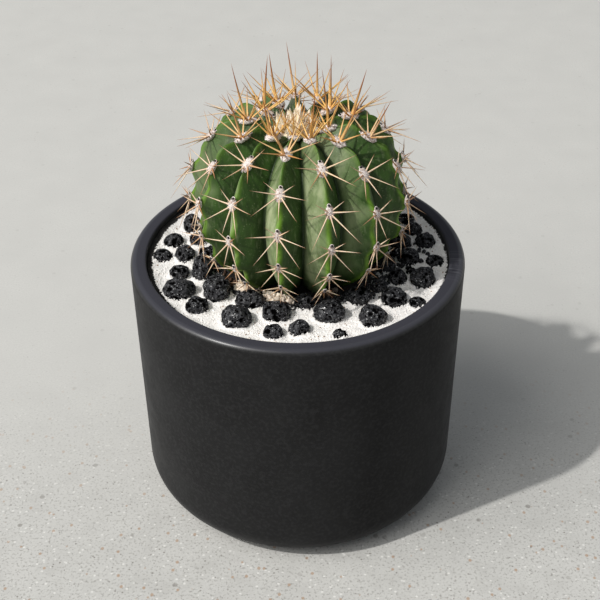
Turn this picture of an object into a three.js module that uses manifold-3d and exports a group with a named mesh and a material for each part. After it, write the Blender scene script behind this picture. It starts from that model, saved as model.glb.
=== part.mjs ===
// A round thirteen-ribbed cactus growing in a plain dark planter, dressed with pale sand and lava pebbles.
// Millimetres, +Z up, with the origin on the standing surface under the middle of the pot.
// Azimuths are in degrees from the front (-Y), counted to the right (+X).
import * as THREE from "three";
import { mergeVertices } from "three/addons/utils/BufferGeometryUtils.js";
import Module from "manifold-3d";

const wasm = await Module();
wasm.setup();

// Clearance left between pieces that touch
const seatGap = 0.3;

// Pot
const rimRadius = 80;
const potHeight = 132;
const footRadiusShare = 0.98;
const footRounding = 18;
const wallThickness = 7.5;
const floorThickness = 9;
const innerFootRounding = 12;
const rimOuterRounding = 2.9;
const rimInnerRounding = 0.8;
const drainRadius = 3.8;
const recessRadius = 52;
const recessDepth = 2;
const potSides = 36;
const footArcSteps = 5;
const innerFootArcSteps = 3;
const rimOuterArcSteps = 3;
const rimInnerArcSteps = 2;

// Fillings
const sandBelowRim = 6;
const sandThickness = 12;
const sandTop = potHeight - sandBelowRim;
const sandBottom = sandTop - sandThickness;

// Stem: the crest of a rib from the middle of the base to the middle of the crown,
// as radius and height above the pot's rim
const crestOutline = [
  [0, -17], [14, -14.5], [27, -7.5], [36.5, 0], [43.5, 8], [48.6, 18], [51.1, 35.5],
  [46.4, 52.6], [35.2, 64.8], [20.8, 69.3], [8, 65], [0, 63],
];
const ribAzimuths = [-10.7, 15.6, 42.3, 72.1, 102.2, 129.6, 157, 182.5, 207, 236, 266.8, 298.2, 323.3];
const grooveShare = 0.262;
const flankSteps = [0, 0.3, 0.65, 1];
const stemRows = 19;

// Tap root, as radius and height above the pot's rim
const rootOutline = [[0, -50], [2.5, -48], [5, -36], [9, -22], [12, -13], [0, -9]];
const rootSides = 14;

// Areoles: the spine cushions along each crest. Their distance from the crown's middle grows by
// areoleStep each, a little less towards the old base, and each rib starts at its own phase.
const areoleStart = 10.5;
const areoleStep = 19.6;
const areoleCrowding = 0.0744;
const areoleLast = 106;
const areolePhases = [0, 0.44, -0.18, 0.2, -0.28, 0.43, -0.31, -0.1, 0.55, 0.45, -0.33, -0.05, 0.47];
const cushionRadius = 1.5;
const cushionRise = 0.5;
const cushionPeak = 1.4;
const cushionFootRadius = 3;
const cushionSunk = 2.4;

// Spines: one stands on each facet of a cushion, but not on the upper one, where its gland sits
const spineSeed = 13;
const facetCount = 8;
const oldSpineLength = 13;
const youngSpineLength = 24;
const oldVigour = 0.3;
const vigourGain = 2;
const lengthSpread = 0.15;
const oldSpineLift = 24;
const youngSpineLift = 70;
const youngReach = 50;
const spineSpread = 9;
const spineClearance = 1.4;
const bendStep = 6;
const steepestBend = 72;
const shortenBy = 0.85;
const shortestSpine = 4;
// A spine is held clear of the dressing at steps along its length, from a little above its root
const firstCheckedShare = 0.2;
const checkedSteps = 8;

// Pebbles in front, where each lies and how large it is: x, y, width, depth, height
const frontPebbles = [
  [-61, 15, 10.2, 10, 8.2], [-65, 2, 10, 9, 7.2], [-54.5, 3, 9.7, 11.5, 9.5],
  [-45, -11.5, 10.3, 15.5, 13], [-56, -13, 9.5, 9.5, 8.5], [-55, -28, 15.7, 13, 11],
  [-46, -40.5, 10.7, 10.5, 9], [-37.5, -29, 13, 15, 13], [-21.8, -36.2, 14.2, 11.5, 10],
  [-27.5, -50, 13.9, 13.5, 12], [-9.5, -46, 13.2, 12.5, 11], [-11, -60.5, 9.1, 9, 8],
  [-52.5, 29.5, 9, 12, 11], [-49, 16, 8.4, 9, 7.5], [-44.5, 4.5, 7, 7, 6.5],
  [-36.6, -17.6, 5.5, 6.5, 6.5], [3.2, -38, 10.5, 9.5, 9.5], [0.4, -57.5, 9.8, 9, 8.5],
  [14, -47, 14.6, 13, 12], [18.5, -61.5, 7.3, 6, 6], [28, -34, 12, 11, 10.5],
  [33.6, -50, 13.1, 12.5, 11], [37.5, -25.5, 8.5, 9.5, 8.5], [44, -35.5, 12, 12, 10.5],
  [54.5, -38.5, 7.9, 7.5, 6.5], [46.8, -18.2, 9.4, 11, 9.5], [58.5, -20, 12.6, 12.5, 11],
  [42, -7.8, 10, 10.5, 9], [53, -2, 11.1, 11, 10], [65.5, -4.5, 9.3, 9, 7.6],
  [62.6, 12.5, 10.6, 10.5, 9], [49.8, 12.5, 11.5, 11.5, 9.5], [57.5, 23.5, 9.5, 9, 8],
  [45.3, 3.2, 6.2, 6.2, 6], [53.4, -11.7, 5, 5, 5],
];
// Pebbles behind, where the stem hides them, are strewn by rule
const pebbleCount = 53;
const strewnSeed = 2027;
const strewnFirstAzimuth = 108;
const strewnLastAzimuth = 300;
const strewnInnerRadius = 41;
const strewnOuterRadius = 67;
const strewnSmallest = 8.5;
const strewnLargest = 14;
const strewnDepthShares = [0.85, 1.15];
const strewnHeightShares = [0.75, 0.9];
const pebbleSpacing = 0.8;
const pebbleSunkShare = 0.27;
const pebbleLumps = 0.06;
const lumpWaves = [3.1, 2.7, 3.7, 3.3];
const pebbleSides = 7;
const pebbleRings = 5;
const socketSides = 6;
const socketMouthShare = 1.38;
const socketFloorShare = 0.9;

const degrees = Math.PI / 180;
const mergeDistance = 1e-4;

// A repeatable stream of numbers between 0 and 1
function randomStream(seed) {
  let state = seed >>> 0;
  return function next() {
    state = (state + 0x6d2b79f5) >>> 0;
    let mixed = state;
    mixed = Math.imul(mixed ^ (mixed >>> 15), mixed | 1);
    mixed ^= mixed + Math.imul(mixed ^ (mixed >>> 7), mixed | 61);
    return ((mixed ^ (mixed >>> 14)) >>> 0) / 4294967296;
  };
}

function signedVolume(position, index) {
  const [a, b, c] = [new THREE.Vector3(), new THREE.Vector3(), new THREE.Vector3()];
  let total = 0;
  for (let i = 0; i < index.count; i += 3) {
    a.fromBufferAttribute(position, index.getX(i));
    b.fromBufferAttribute(position, index.getX(i + 1));
    c.fromBufferAttribute(position, index.getX(i + 2));
    total += a.dot(b.cross(c));
  }
  return total;
}

// Closed geometry to a solid that can be joined and cut
function solidOf(geometry) {
  const bare = geometry.clone();
  bare.deleteAttribute("normal");
  bare.deleteAttribute("uv");
  const merged = mergeVertices(bare, mergeDistance);
  const position = merged.getAttribute("position");
  const index = merged.getIndex();
  const turned = signedVolume(position, index) < 0;
  const triangles = [];
  for (let i = 0; i < index.count; i += 3) {
    const [a, b, c] = [index.getX(i), index.getX(i + 1), index.getX(i + 2)];
    if (a === b || b === c || c === a) continue;
    triangles.push(a, turned ? c : b, turned ? b : c);
  }
  return new wasm.Manifold(new wasm.Mesh({
    numProp: 3,
    vertProperties: new Float32Array(position.array),
    triVerts: new Uint32Array(triangles),
  }));
}

function geometryOf(solid) {
  const mesh = solid.getMesh();
  const geometry = new THREE.BufferGeometry();
  geometry.setAttribute("position", new THREE.BufferAttribute(new Float32Array(mesh.vertProperties), 3));
  geometry.setIndex(new THREE.BufferAttribute(new Uint32Array(mesh.triVerts), 1));
  geometry.computeVertexNormals();
  return geometry;
}

// A solid of revolution round +Z from points of radius and height
function turnedSolid(outline, sides) {
  return solidOf(new THREE.LatheGeometry(outline, sides).rotateX(Math.PI / 2));
}

// Points on an arc in the plane of radius and height
function arcPoints(centreRadius, centreHeight, radius, fromAngle, toAngle, steps) {
  const points = [];
  for (let i = 0; i <= steps; i += 1) {
    const angle = (fromAngle + ((toAngle - fromAngle) * i) / steps) * degrees;
    const [out, up] = [radius * Math.cos(angle), radius * Math.sin(angle)];
    points.push(new THREE.Vector2(centreRadius + out, centreHeight + up));
  }
  return points;
}

function potOuterRadius(height) {
  return rimRadius * (footRadiusShare + ((1 - footRadiusShare) * height) / potHeight);
}

function potInnerRadius(height) {
  return potOuterRadius(height) - wallThickness;
}

function atAzimuth(azimuth, radius, height) {
  const turn = azimuth * degrees;
  return new THREE.Vector3(radius * Math.sin(turn), -radius * Math.cos(turn), height);
}

// Pot: a straight cylinder with a rounded foot, a standing ring, a recessed base and a drain hole
function makePot() {
  const footRadius = potOuterRadius(footRounding);
  const innerHeight = floorThickness + innerFootRounding;
  const innerRadius = potInnerRadius(innerHeight);
  const rimInner = potInnerRadius(potHeight);
  const outline = [
    new THREE.Vector2(drainRadius, recessDepth),
    new THREE.Vector2(recessRadius - recessDepth, recessDepth),
    new THREE.Vector2(recessRadius, 0),
    ...arcPoints(footRadius - footRounding, footRounding, footRounding, -90, 0, footArcSteps),
    ...arcPoints(rimRadius - rimOuterRounding, potHeight - rimOuterRounding, rimOuterRounding, 0, 90,
      rimOuterArcSteps),
    ...arcPoints(rimInner + rimInnerRounding, potHeight - rimInnerRounding, rimInnerRounding, 90, 180,
      rimInnerArcSteps),
    ...arcPoints(innerRadius - innerFootRounding, innerHeight, innerFootRounding, 0, -90,
      innerFootArcSteps),
    new THREE.Vector2(drainRadius, floorThickness),
    new THREE.Vector2(drainRadius, recessDepth),
  ];
  return turnedSolid(outline, potSides);
}

// A filling of the pot between two heights, a seat gap clear of the wall
function makeFilling(bottom, top) {
  const outline = [new THREE.Vector2(0, bottom)];
  const innerHeight = floorThickness + innerFootRounding;
  if (bottom < innerHeight) {
    const innerRadius = potInnerRadius(innerHeight);
    const round = innerFootRounding - seatGap;
    const centreRadius = innerRadius - innerFootRounding;
    outline.push(...arcPoints(centreRadius, innerHeight, round, -90, 0, innerFootArcSteps));
  } else {
    outline.push(new THREE.Vector2(potInnerRadius(bottom) - seatGap, bottom));
  }
  outline.push(new THREE.Vector2(potInnerRadius(top) - seatGap, top), new THREE.Vector2(0, top));
  return turnedSolid(outline, potSides);
}

const crestLine = new THREE.SplineCurve(
  crestOutline.map(([radius, height]) => new THREE.Vector2(radius, potHeight + height)),
);
const crestLength = crestLine.getLength();

// A point of the crest and the outward normal and upward tangent there, in radius and height
function crestFrame(share) {
  const point = crestLine.getPointAt(share);
  const tangent = crestLine.getTangentAt(share);
  return { point, tangent, normal: new THREE.Vector2(tangent.y, -tangent.x) };
}

// Stem: rows along the crest, each dropping into a groove between neighbouring ribs
function stemGeometry(grow) {
  const columns = [];
  ribAzimuths.forEach((azimuth, rib) => {
    const last = rib === ribAzimuths.length - 1;
    const next = last ? ribAzimuths[0] + 360 : ribAzimuths[rib + 1];
    const half = (next - azimuth) / 2;
    for (const step of flankSteps) columns.push([azimuth + half * step, step]);
    for (const step of flankSteps.slice(1, -1).reverse()) columns.push([next - half * step, step]);
  });
  const positions = [];
  for (let row = 1; row < stemRows; row += 1) {
    const { point, normal } = crestFrame(row / stemRows);
    for (const [azimuth, step] of columns) {
      const inward = grooveShare * point.x * step - grow;
      const vertex = atAzimuth(azimuth, point.x - normal.x * inward, point.y - normal.y * inward);
      positions.push(vertex.x, vertex.y, vertex.z);
    }
  }
  const base = crestLine.getPointAt(0);
  const crown = crestLine.getPointAt(1);
  const around = columns.length;
  const baseIndex = positions.length / 3;
  positions.push(0, 0, base.y - grow, 0, 0, crown.y + grow);
  const triangles = [];
  for (let column = 0; column < around; column += 1) {
    const next = (column + 1) % around;
    triangles.push(baseIndex, next, column);
    for (let row = 0; row < stemRows - 2; row += 1) {
      const [a, b] = [row * around + column, row * around + next];
      const [c, d] = [a + around, b + around];
      triangles.push(a, b, d, a, d, c);
    }
    const top = (stemRows - 2) * around;
    triangles.push(baseIndex + 1, top + column, top + next);
  }
  const geometry = new THREE.BufferGeometry();
  geometry.setAttribute("position", new THREE.Float32BufferAttribute(positions, 3));
  geometry.setIndex(triangles);
  return geometry;
}

function makeStem(grow) {
  const outline = rootOutline.map(([radius, height]) => {
    const wide = radius > 0 ? radius + grow : 0;
    const lowered = height === rootOutline[0][1] ? grow : 0;
    return new THREE.Vector2(wide, potHeight + height - lowered);
  });
  return solidOf(stemGeometry(grow)).add(turnedSolid(outline, rootSides));
}

// Pebble: a lumpy ball fitted to its size, a little sunk into the sand
function makePebble(pebble) {
  const random = randomStream(pebble.seed);
  const phases = lumpWaves.map(() => random() * 2 * Math.PI);
  const wave = (along, k) => Math.sin(lumpWaves[k] * along + phases[k]);
  const geometry = new THREE.SphereGeometry(1, pebbleSides, pebbleRings).rotateX(Math.PI / 2);
  const position = geometry.getAttribute("position");
  const vertex = new THREE.Vector3();
  for (let i = 0; i < position.count; i += 1) {
    vertex.fromBufferAttribute(position, i).normalize();
    const lump = wave(vertex.x, 0) * wave(vertex.y, 1) + wave(vertex.z, 2) * wave(vertex.x, 3);
    vertex.multiplyScalar(1 + pebbleLumps * lump);
    position.setXYZ(i, vertex.x, vertex.y, vertex.z);
  }
  geometry.center();
  const size = geometry.boundingBox.getSize(new THREE.Vector3());
  geometry.scale(pebble.width / size.x, pebble.depth / size.y, pebble.height / size.z);
  return solidOf(geometry.translate(pebble.x, pebble.y, pebble.z));
}

// The shallow pit in the sand that a pebble lies in
function makeSocket(pebble) {
  const depth = pebble.height * pebbleSunkShare + seatGap;
  const geometry = new THREE.CylinderGeometry(socketMouthShare, socketFloorShare, 2 * depth, socketSides);
  geometry.rotateX(Math.PI / 2).scale(pebble.width / 2, pebble.depth / 2, 1);
  return solidOf(geometry.translate(pebble.x, pebble.y, sandTop));
}

function placePebble(x, y, width, depth, height, seed) {
  return { x, y, z: sandTop + height * (0.5 - pebbleSunkShare), width, depth, height, seed };
}

function pebblesClash(one, other) {
  const reach = (one.width + one.depth + other.width + other.depth) / 4 + pebbleSpacing;
  return Math.hypot(one.x - other.x, one.y - other.y) < reach;
}

function placePebbles() {
  const pebbles = frontPebbles.map((row, i) => placePebble(...row, i + 1));
  const random = randomStream(strewnSeed);
  const between = (low, high) => low + (high - low) * random();
  while (pebbles.length < pebbleCount) {
    const azimuth = between(strewnFirstAzimuth, strewnLastAzimuth);
    const width = between(strewnSmallest, strewnLargest);
    const depth = width * between(...strewnDepthShares);
    const height = width * between(...strewnHeightShares);
    const spot = atAzimuth(azimuth, between(strewnInnerRadius, strewnOuterRadius), 0);
    const pebble = placePebble(spot.x, spot.y, width, depth, height, pebbles.length + 1);
    if (!pebbles.some((other) => pebblesClash(pebble, other))) pebbles.push(pebble);
  }
  return pebbles;
}

// Whether a point lies clear of the sand and of each pebble, taken as a ball fitted to its size
function clearOfDressing(point, pebbles) {
  if (point.z < sandTop + spineClearance) return false;
  return !pebbles.some((pebble) => {
    const across = (point.x - pebble.x) / (pebble.width / 2 + spineClearance);
    const along = (point.y - pebble.y) / (pebble.depth / 2 + spineClearance);
    const above = (point.z - pebble.z) / (pebble.height / 2 + spineClearance);
    return Math.hypot(across, along, above) < 1;
  });
}

function spineClears(root, direction, length, pebbles) {
  for (let step = 0; step <= checkedSteps; step += 1) {
    const share = firstCheckedShare + ((1 - firstCheckedShare) * step) / checkedSteps;
    if (!clearOfDressing(root.clone().addScaledVector(direction, length * share), pebbles)) return false;
  }
  return true;
}

// Length and direction of the spine that leaves a cushion at a turn from the upward side,
// bent up and shortened until it clears the sand and the pebbles
function growSpine(frame, turn, youth, pebbles, random) {
  const along = frame.upward.clone().multiplyScalar(Math.cos(turn))
    .addScaledVector(frame.sideways, Math.sin(turn));
  const root = frame.centre.clone().addScaledVector(along, cushionRadius);
  const vigour = Math.min(1, vigourGain * youth + oldVigour);
  const either = () => 2 * random() - 1;
  let lift = oldSpineLift + (youngSpineLift - oldSpineLift) * youth + spineSpread * either();
  let length = oldSpineLength + (youngSpineLength - oldSpineLength) * vigour;
  length *= 1 + lengthSpread * either();
  const aim = () => along.clone().multiplyScalar(Math.cos(lift * degrees))
    .addScaledVector(frame.outward, Math.sin(lift * degrees));
  while (!spineClears(root, aim(), length, pebbles) && lift < steepestBend) lift += bendStep;
  while (!spineClears(root, aim(), length, pebbles) && length > shortestSpine) length *= shortenBy;
  return root.addScaledVector(aim(), length);
}

// One areole: a low felt cushion sunk into the crest, with a three-sided spine drawn out of each facet
function areoleSolid(rib, distance, pebbles, random) {
  const azimuth = ribAzimuths[rib];
  const { point, tangent, normal } = crestFrame(1 - distance / crestLength);
  const frame = {
    centre: atAzimuth(azimuth, point.x, point.y),
    outward: atAzimuth(azimuth, normal.x, normal.y),
    upward: atAzimuth(azimuth, tangent.x, tangent.y),
  };
  frame.sideways = frame.upward.clone().cross(frame.outward);
  const youth = Math.max(0, 1 - distance / youngReach);
  const place = (turn, radius, height) => frame.centre.clone()
    .addScaledVector(frame.upward, radius * Math.cos(turn))
    .addScaledVector(frame.sideways, radius * Math.sin(turn))
    .addScaledVector(frame.outward, height);
  const facetTurn = 360 / facetCount;
  const corners = Array.from({ length: facetCount }, (_, k) => (k - 0.5) * facetTurn * degrees);
  const points = [place(0, 0, cushionPeak)];
  for (const turn of corners) points.push(place(turn, cushionRadius, cushionRise));
  for (let k = 0; k < facetCount; k += 2) {
    points.push(place(k * facetTurn * degrees, cushionFootRadius, -cushionSunk));
  }
  const [peak, ring, foot] = [0, 1, 1 + facetCount];
  const footCount = facetCount / 2;
  const triangles = [foot, foot + 1, foot + 2, foot, foot + 2, foot + 3];
  for (let k = 0; k < facetCount; k += 1) {
    const next = (k + 1) % facetCount;
    const nearFoot = foot + (Math.ceil(k / 2) % footCount);
    triangles.push(ring + k, ring + next, nearFoot);
    if (k % 2 === 1) triangles.push(ring + k, nearFoot, foot + (k - 1) / 2);
    if (k === 0) {
      triangles.push(ring + next, ring + k, peak);
      continue;
    }
    const turn = (k * facetTurn + spineSpread * (2 * random() - 1)) * degrees;
    const tip = points.length;
    points.push(growSpine(frame, turn, youth, pebbles, random));
    triangles.push(ring + next, ring + k, tip, ring + k, peak, tip, peak, ring + next, tip);
  }
  const geometry = new THREE.BufferGeometry().setFromPoints(points);
  geometry.setIndex(triangles);
  return solidOf(geometry);
}

function makeCactus(pebbles) {
  const random = randomStream(spineSeed);
  const solids = [makeStem(0)];
  ribAzimuths.forEach((azimuth, rib) => {
    for (let turn = areolePhases[rib]; ; turn += 1) {
      const distance = areoleStart + areoleStep * turn - areoleCrowding * turn ** 3;
      if (distance > areoleLast) break;
      solids.push(areoleSolid(rib, distance, pebbles, random));
    }
  });
  return wasm.Manifold.union(solids);
}

const materials = {
  pot: new THREE.MeshStandardMaterial({ color: 0x34343a, roughness: 0.62, metalness: 0 }),
  soil: new THREE.MeshStandardMaterial({ color: 0x3a2c22, roughness: 1, metalness: 0 }),
  sand: new THREE.MeshStandardMaterial({ color: 0xe6dfd8, roughness: 0.95, metalness: 0 }),
  lava: new THREE.MeshStandardMaterial({ color: 0x1f1f21, roughness: 0.75, metalness: 0 }),
  cactus: new THREE.MeshStandardMaterial({ color: 0x3d6b35, roughness: 0.5, metalness: 0 }),
};

const group = new THREE.Group();

function addPiece(name, solid, material) {
  const mesh = new THREE.Mesh(geometryOf(solid), material);
  mesh.name = name;
  group.add(mesh);
}

const pebbles = placePebbles();
const stemHole = makeStem(seatGap);
const sockets = pebbles.map((pebble) => makeSocket(pebble));
const sand = makeFilling(sandBottom, sandTop).subtract(wasm.Manifold.union([stemHole, ...sockets]));
const soil = makeFilling(floorThickness + seatGap, sandBottom - seatGap).subtract(stemHole);

addPiece("pot", makePot(), materials.pot);
addPiece("soil", soil, materials.soil);
addPiece("sand", sand, materials.sand);
addPiece("cactus", makeCactus(pebbles), materials.cactus);
pebbles.forEach((pebble, i) => {
  addPiece(`pebble_${String(i + 1).padStart(2, "0")}`, makePebble(pebble), materials.lava);
});

export default group;
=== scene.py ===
import math

import bmesh
import bpy
import numpy as np
from bpy.props import FloatProperty, FloatVectorProperty, IntProperty, PointerProperty
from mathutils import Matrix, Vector, noise


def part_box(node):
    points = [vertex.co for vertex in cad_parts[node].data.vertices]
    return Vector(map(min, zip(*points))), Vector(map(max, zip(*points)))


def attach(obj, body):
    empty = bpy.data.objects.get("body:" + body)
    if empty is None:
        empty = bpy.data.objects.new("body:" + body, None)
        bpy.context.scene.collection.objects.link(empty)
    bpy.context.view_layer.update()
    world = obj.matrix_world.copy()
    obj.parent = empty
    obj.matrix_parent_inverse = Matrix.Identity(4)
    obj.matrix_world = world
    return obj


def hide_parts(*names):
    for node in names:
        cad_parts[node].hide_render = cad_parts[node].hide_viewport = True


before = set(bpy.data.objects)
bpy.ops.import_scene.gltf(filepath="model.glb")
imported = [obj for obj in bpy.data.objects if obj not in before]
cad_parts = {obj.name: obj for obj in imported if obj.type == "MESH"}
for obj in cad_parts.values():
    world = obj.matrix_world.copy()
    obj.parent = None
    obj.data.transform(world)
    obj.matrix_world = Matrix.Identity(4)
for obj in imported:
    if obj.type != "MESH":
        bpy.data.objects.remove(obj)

bl_info = {
    "name": "Potted Round Cactus",
    "version": (1, 0, 0),
    "blender": (4, 5, 0),
    "location": "View3D > Sidebar > Cactus",
    "description": "Models a round ribbed cactus in its pot, with sand, lava pebbles and spines",
    "category": "Add Mesh",
}

MM = 0.001
TURN = 2 * math.pi
# The solids' own sizes, in metres
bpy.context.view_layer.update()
POT_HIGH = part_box("pot")[1]
SAND_LOW, SAND_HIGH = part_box("sand")
RIM = POT_HIGH.z
PEBBLE_NODES = sorted(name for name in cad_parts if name.startswith("pebble_"))

# Rib crest from the middle of the base to the middle of the crown: radius and height above the rim, in mm
CREST_OUTLINE = [
    (0, -17), (14, -14.5), (27, -7.5), (36.5, 0), (43.5, 8), (48.6, 18), (51.1, 35.5),
    (46.4, 52.6), (35.2, 64.8), (20.8, 69.3), (8, 65), (0, 63),
]
# Where each rib stands, in degrees from the front to the right
RIB_AZIMUTHS = [-10.7, 15.6, 42.3, 72.1, 102.2, 129.6, 157, 182.5, 207, 236, 266.8, 298.2, 323.3]
# How far along its own areole spacing each rib's row of areoles starts
AREOLE_PHASES = [0, 0.44, -0.18, 0.2, -0.28, 0.43, -0.31, -0.1, 0.55, 0.45, -0.33, -0.05, 0.47]
# Points worked out between one point of the crest's outline and the next
CREST_STEPS = 60
# Distances from the crown's middle in mm where the crest starts to swell between its areoles, is
# swollen, swells no more, and sinks between them instead
SWELL_PLACES = [14, 24, 42, 58]
# A notch between areoles reaches down this share of the flank, and above 1 the skew draws its
# deepest place towards the older areole
NOTCH_REACH = 0.6
NOTCH_SKEW = 1.15
# Creases on the flanks: how far each slants down on its way into the groove, its half width, how far
# below a rib's first areole they start, and the shares of the flank over which they come and go
CREASE_SLANT = 13 * MM
CREASE_WIDTH = 0.7 * MM
CREASE_START = 4 * MM
CREASE_COMES = 0.25
CREASE_GOES = 0.35
# Between these azimuths in degrees the painted light on the sun's side grows from what the stem's far left
# has to all of it
PAINTED_LIGHT_FADE = [-58, -30]
# Lower share of the crest's length that can hang over the sand
UNDERSIDE_SHARE = 0.45
# Sand round a pebble, in shares of its half width: where the heap is highest, how wide the heap is,
# and how far out the pit reaches
HEAP_PLACE = 0.95
HEAP_WIDTH = 0.16
PIT_REACH = 0.93
# Room between the sand and what lies in it, and the lowest that the sand may go
PEBBLE_GAP = 0.15 * MM
STEM_GAP = 0.35 * MM
SAND_FLOOR = SAND_LOW.z + 0.5 * MM
# Radial spines of an areole: turn from the upward side in degrees, share of the usual length when
# old and when young
SPINE_FAN = [
    (50, 0.5, 0.9), (92, 0.9, 0.95), (138, 1.05, 1.0), (181, 0.8, 1.05),
    (223, 1.05, 1.0), (268, 0.9, 0.95), (310, 0.5, 0.9),
]
# Usual length of a radial spine by its areole's distance from the crown's middle, both in mm
SPINE_GROWTH = [(4, 9), (12, 15), (22, 19), (40, 17), (60, 16), (76, 14), (92, 10.5), (106, 7.5)]
# Half width of a felt pad by the same distance, both in mm
PAD_GROWTH = [(4, 2.4), (16, 2.7), (40, 2.35), (60, 1.9), (76, 1.65), (92, 1.2), (106, 0.9)]


def length(name, text, value):
    return FloatProperty(name=name, description=text, default=value, precision=5, unit="LENGTH")


def share(name, text, value):
    return FloatProperty(name=name, description=text, default=value, min=0, max=1, subtype="FACTOR")


def number(name, text, value):
    return FloatProperty(name=name, description=text, default=value)


def angle(name, text, degrees):
    return FloatProperty(name=name, description=text, default=math.radians(degrees), subtype="ANGLE")


def count(name, text, value):
    return IntProperty(name=name, description=text, default=value, min=0)


def colour(name, text, value):
    return FloatVectorProperty(name=name, description=text, default=value, size=3, min=0, max=1,
                               subtype="COLOR")


class PotSettings(bpy.types.PropertyGroup):
    """Sizes and colours of the pot"""
    wall: length("Wall", "Thickness of the wall", 7.5 * MM)
    floor: length("Floor", "Thickness of the floor", 9 * MM)
    foot_share: share("Foot share", "Radius at the foot as a share of the rim's", 0.98)
    foot_rounding: length("Foot rounding", "Rounding between the wall and the standing ring", 18 * MM)
    inner_rounding: length("Inner rounding", "Rounding between the wall and the floor inside", 12 * MM)
    rim_rounding: length("Rim rounding", "Rounding of the rim's outer edge", 2.9 * MM)
    lip_rounding: length("Lip rounding", "Rounding of the rim's inner edge", 0.8 * MM)
    ring_radius: length("Ring radius", "Inner radius of the standing ring", 52 * MM)
    recess: length("Recess", "Depth of the hollow inside the standing ring", 2 * MM)
    drain_radius: length("Drain radius", "Radius of the drain hole", 3.8 * MM)
    sides: count("Sides", "Facets round the pot", 192)
    body: colour("Body", "Charcoal of the glaze", (0.0145, 0.0143, 0.0145))
    haze: colour("Haze", "Paler haze in the glaze", (0.0225, 0.0225, 0.0230))
    # Painted reflection: the dust colour makes the rim's flat top lighter and bluish in place of the sky
    # reflected on it
    dust: colour("Dust", "Bluish dust on the rim's flat top", (0.044, 0.044, 0.055))
    scuff: colour("Scuff", "Pale scuffs on the rim", (0.11, 0.11, 0.125))
    scuff_azimuth: angle("Scuff azimuth", "Where the rim is scuffed, from the front to the right", 79)
    roughness: share("Roughness", "Roughness of the glaze", 0.42)
    polish: share("Polish", "How much the rim's rounded edge is polished", 0.8)


class SandSettings(bpy.types.PropertyGroup):
    """Sizes and colours of the sand and the soil under it"""
    inner_radius: length("Inner radius", "Where the bed ends under the stem", 13.5 * MM)
    rows: count("Rows", "Rings of faces across the bed", 92)
    columns: count("Columns", "Faces round the bed", 430)
    swell: length("Swell", "Height of the soft waves in the bed", 0.5 * MM)
    swell_size: length("Swell size", "Width of the soft waves", 7 * MM)
    grain: length("Grain", "Height of the grains that stand out of the bed", 0.16 * MM)
    fill: length("Fill", "How far the bed's surface stands above its solid's", 1.1 * MM)
    heap: length("Heap", "How far the bed rises round each pebble", 1.1 * MM)
    bank: length("Bank", "How far the bed rises against the pot's wall", 2.2 * MM)
    bank_width: length("Bank width", "Width of the rise against the wall", 7 * MM)
    # Painted shade: width of the dark band against the wall, and how much wider it is on the left
    wall_shade_width: length("Grime", "Width of the dark dust against the wall", 0.7 * MM)
    wall_shade_left: length("Grime on the left", "How much wider the dark dust is on the left", 1.7 * MM)
    loose: count("Loose grains", "Coarse grains that lie on the bed", 9600)
    loose_size: length("Loose grain size", "Radius of a coarse grain", 0.36 * MM)
    seed: count("Seed", "Start of the random grains", 41)
    light: colour("Light", "Clean grains", (1.0, 0.985, 0.97))
    dusty: colour("Dusty", "Dusty pink-grey grains", (0.93, 0.89, 0.86))
    speck: colour("Speck", "Brown specks", (0.40, 0.28, 0.20))
    # Painted shade: colour of the dark band against the wall and of the dark ring round the stem, and how
    # far that ring reaches
    painted_shade: colour("Dirt", "Dark dust against the wall and the stem", (0.026, 0.024, 0.023))
    foot: length("Foot", "Distance from the axis to which dark dust lies round the stem", 40.5 * MM)
    soil: colour("Soil", "Potting soil", (0.045, 0.028, 0.018))


class PebbleSettings(bpy.types.PropertyGroup):
    """Shape and colours of the lava pebbles and crumbs"""
    lump: share("Lumps", "Height of the broad lumps as a share of the radius", 0.16)
    chip: share("Chips", "Height of the small unevenness as a share of the radius", 0.045)
    pores: count("Pores", "Pores on a pebble", 90)
    pore_small: length("Smallest pore", "Radius of the smallest pores", 0.42 * MM)
    pore_large: length("Largest pore", "Radius of the largest pores", 1.5 * MM)
    pit: length("Pit", "Distance between the fine pits in the lava", 1.6 * MM)
    seed: count("Seed", "Start of the random shapes", 905)
    crumb: length("Crumb", "Radius of the small lava crumbs between the pebbles", 1.25 * MM)
    body: colour("Body", "Lava", (0.034, 0.034, 0.037))
    dust: colour("Dust", "Greyer worn lava", (0.110, 0.110, 0.118))
    # Painted glints: pale flecks that also stand for crystals in the lava
    glint_fleck: colour("Fleck", "Pale crystals in the lava", (0.65, 0.65, 0.66))
    # Painted shade: the near black painted into the pits and pores
    hollow: colour("Hollow", "Inside of the pits", (0.001, 0.001, 0.001))
    gloss: share("Gloss", "How glassy the lava's ridges are", 0.62)
    glassy: share("Glassy", "Roughness of the lava's glassy ridges", 0.22)


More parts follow.
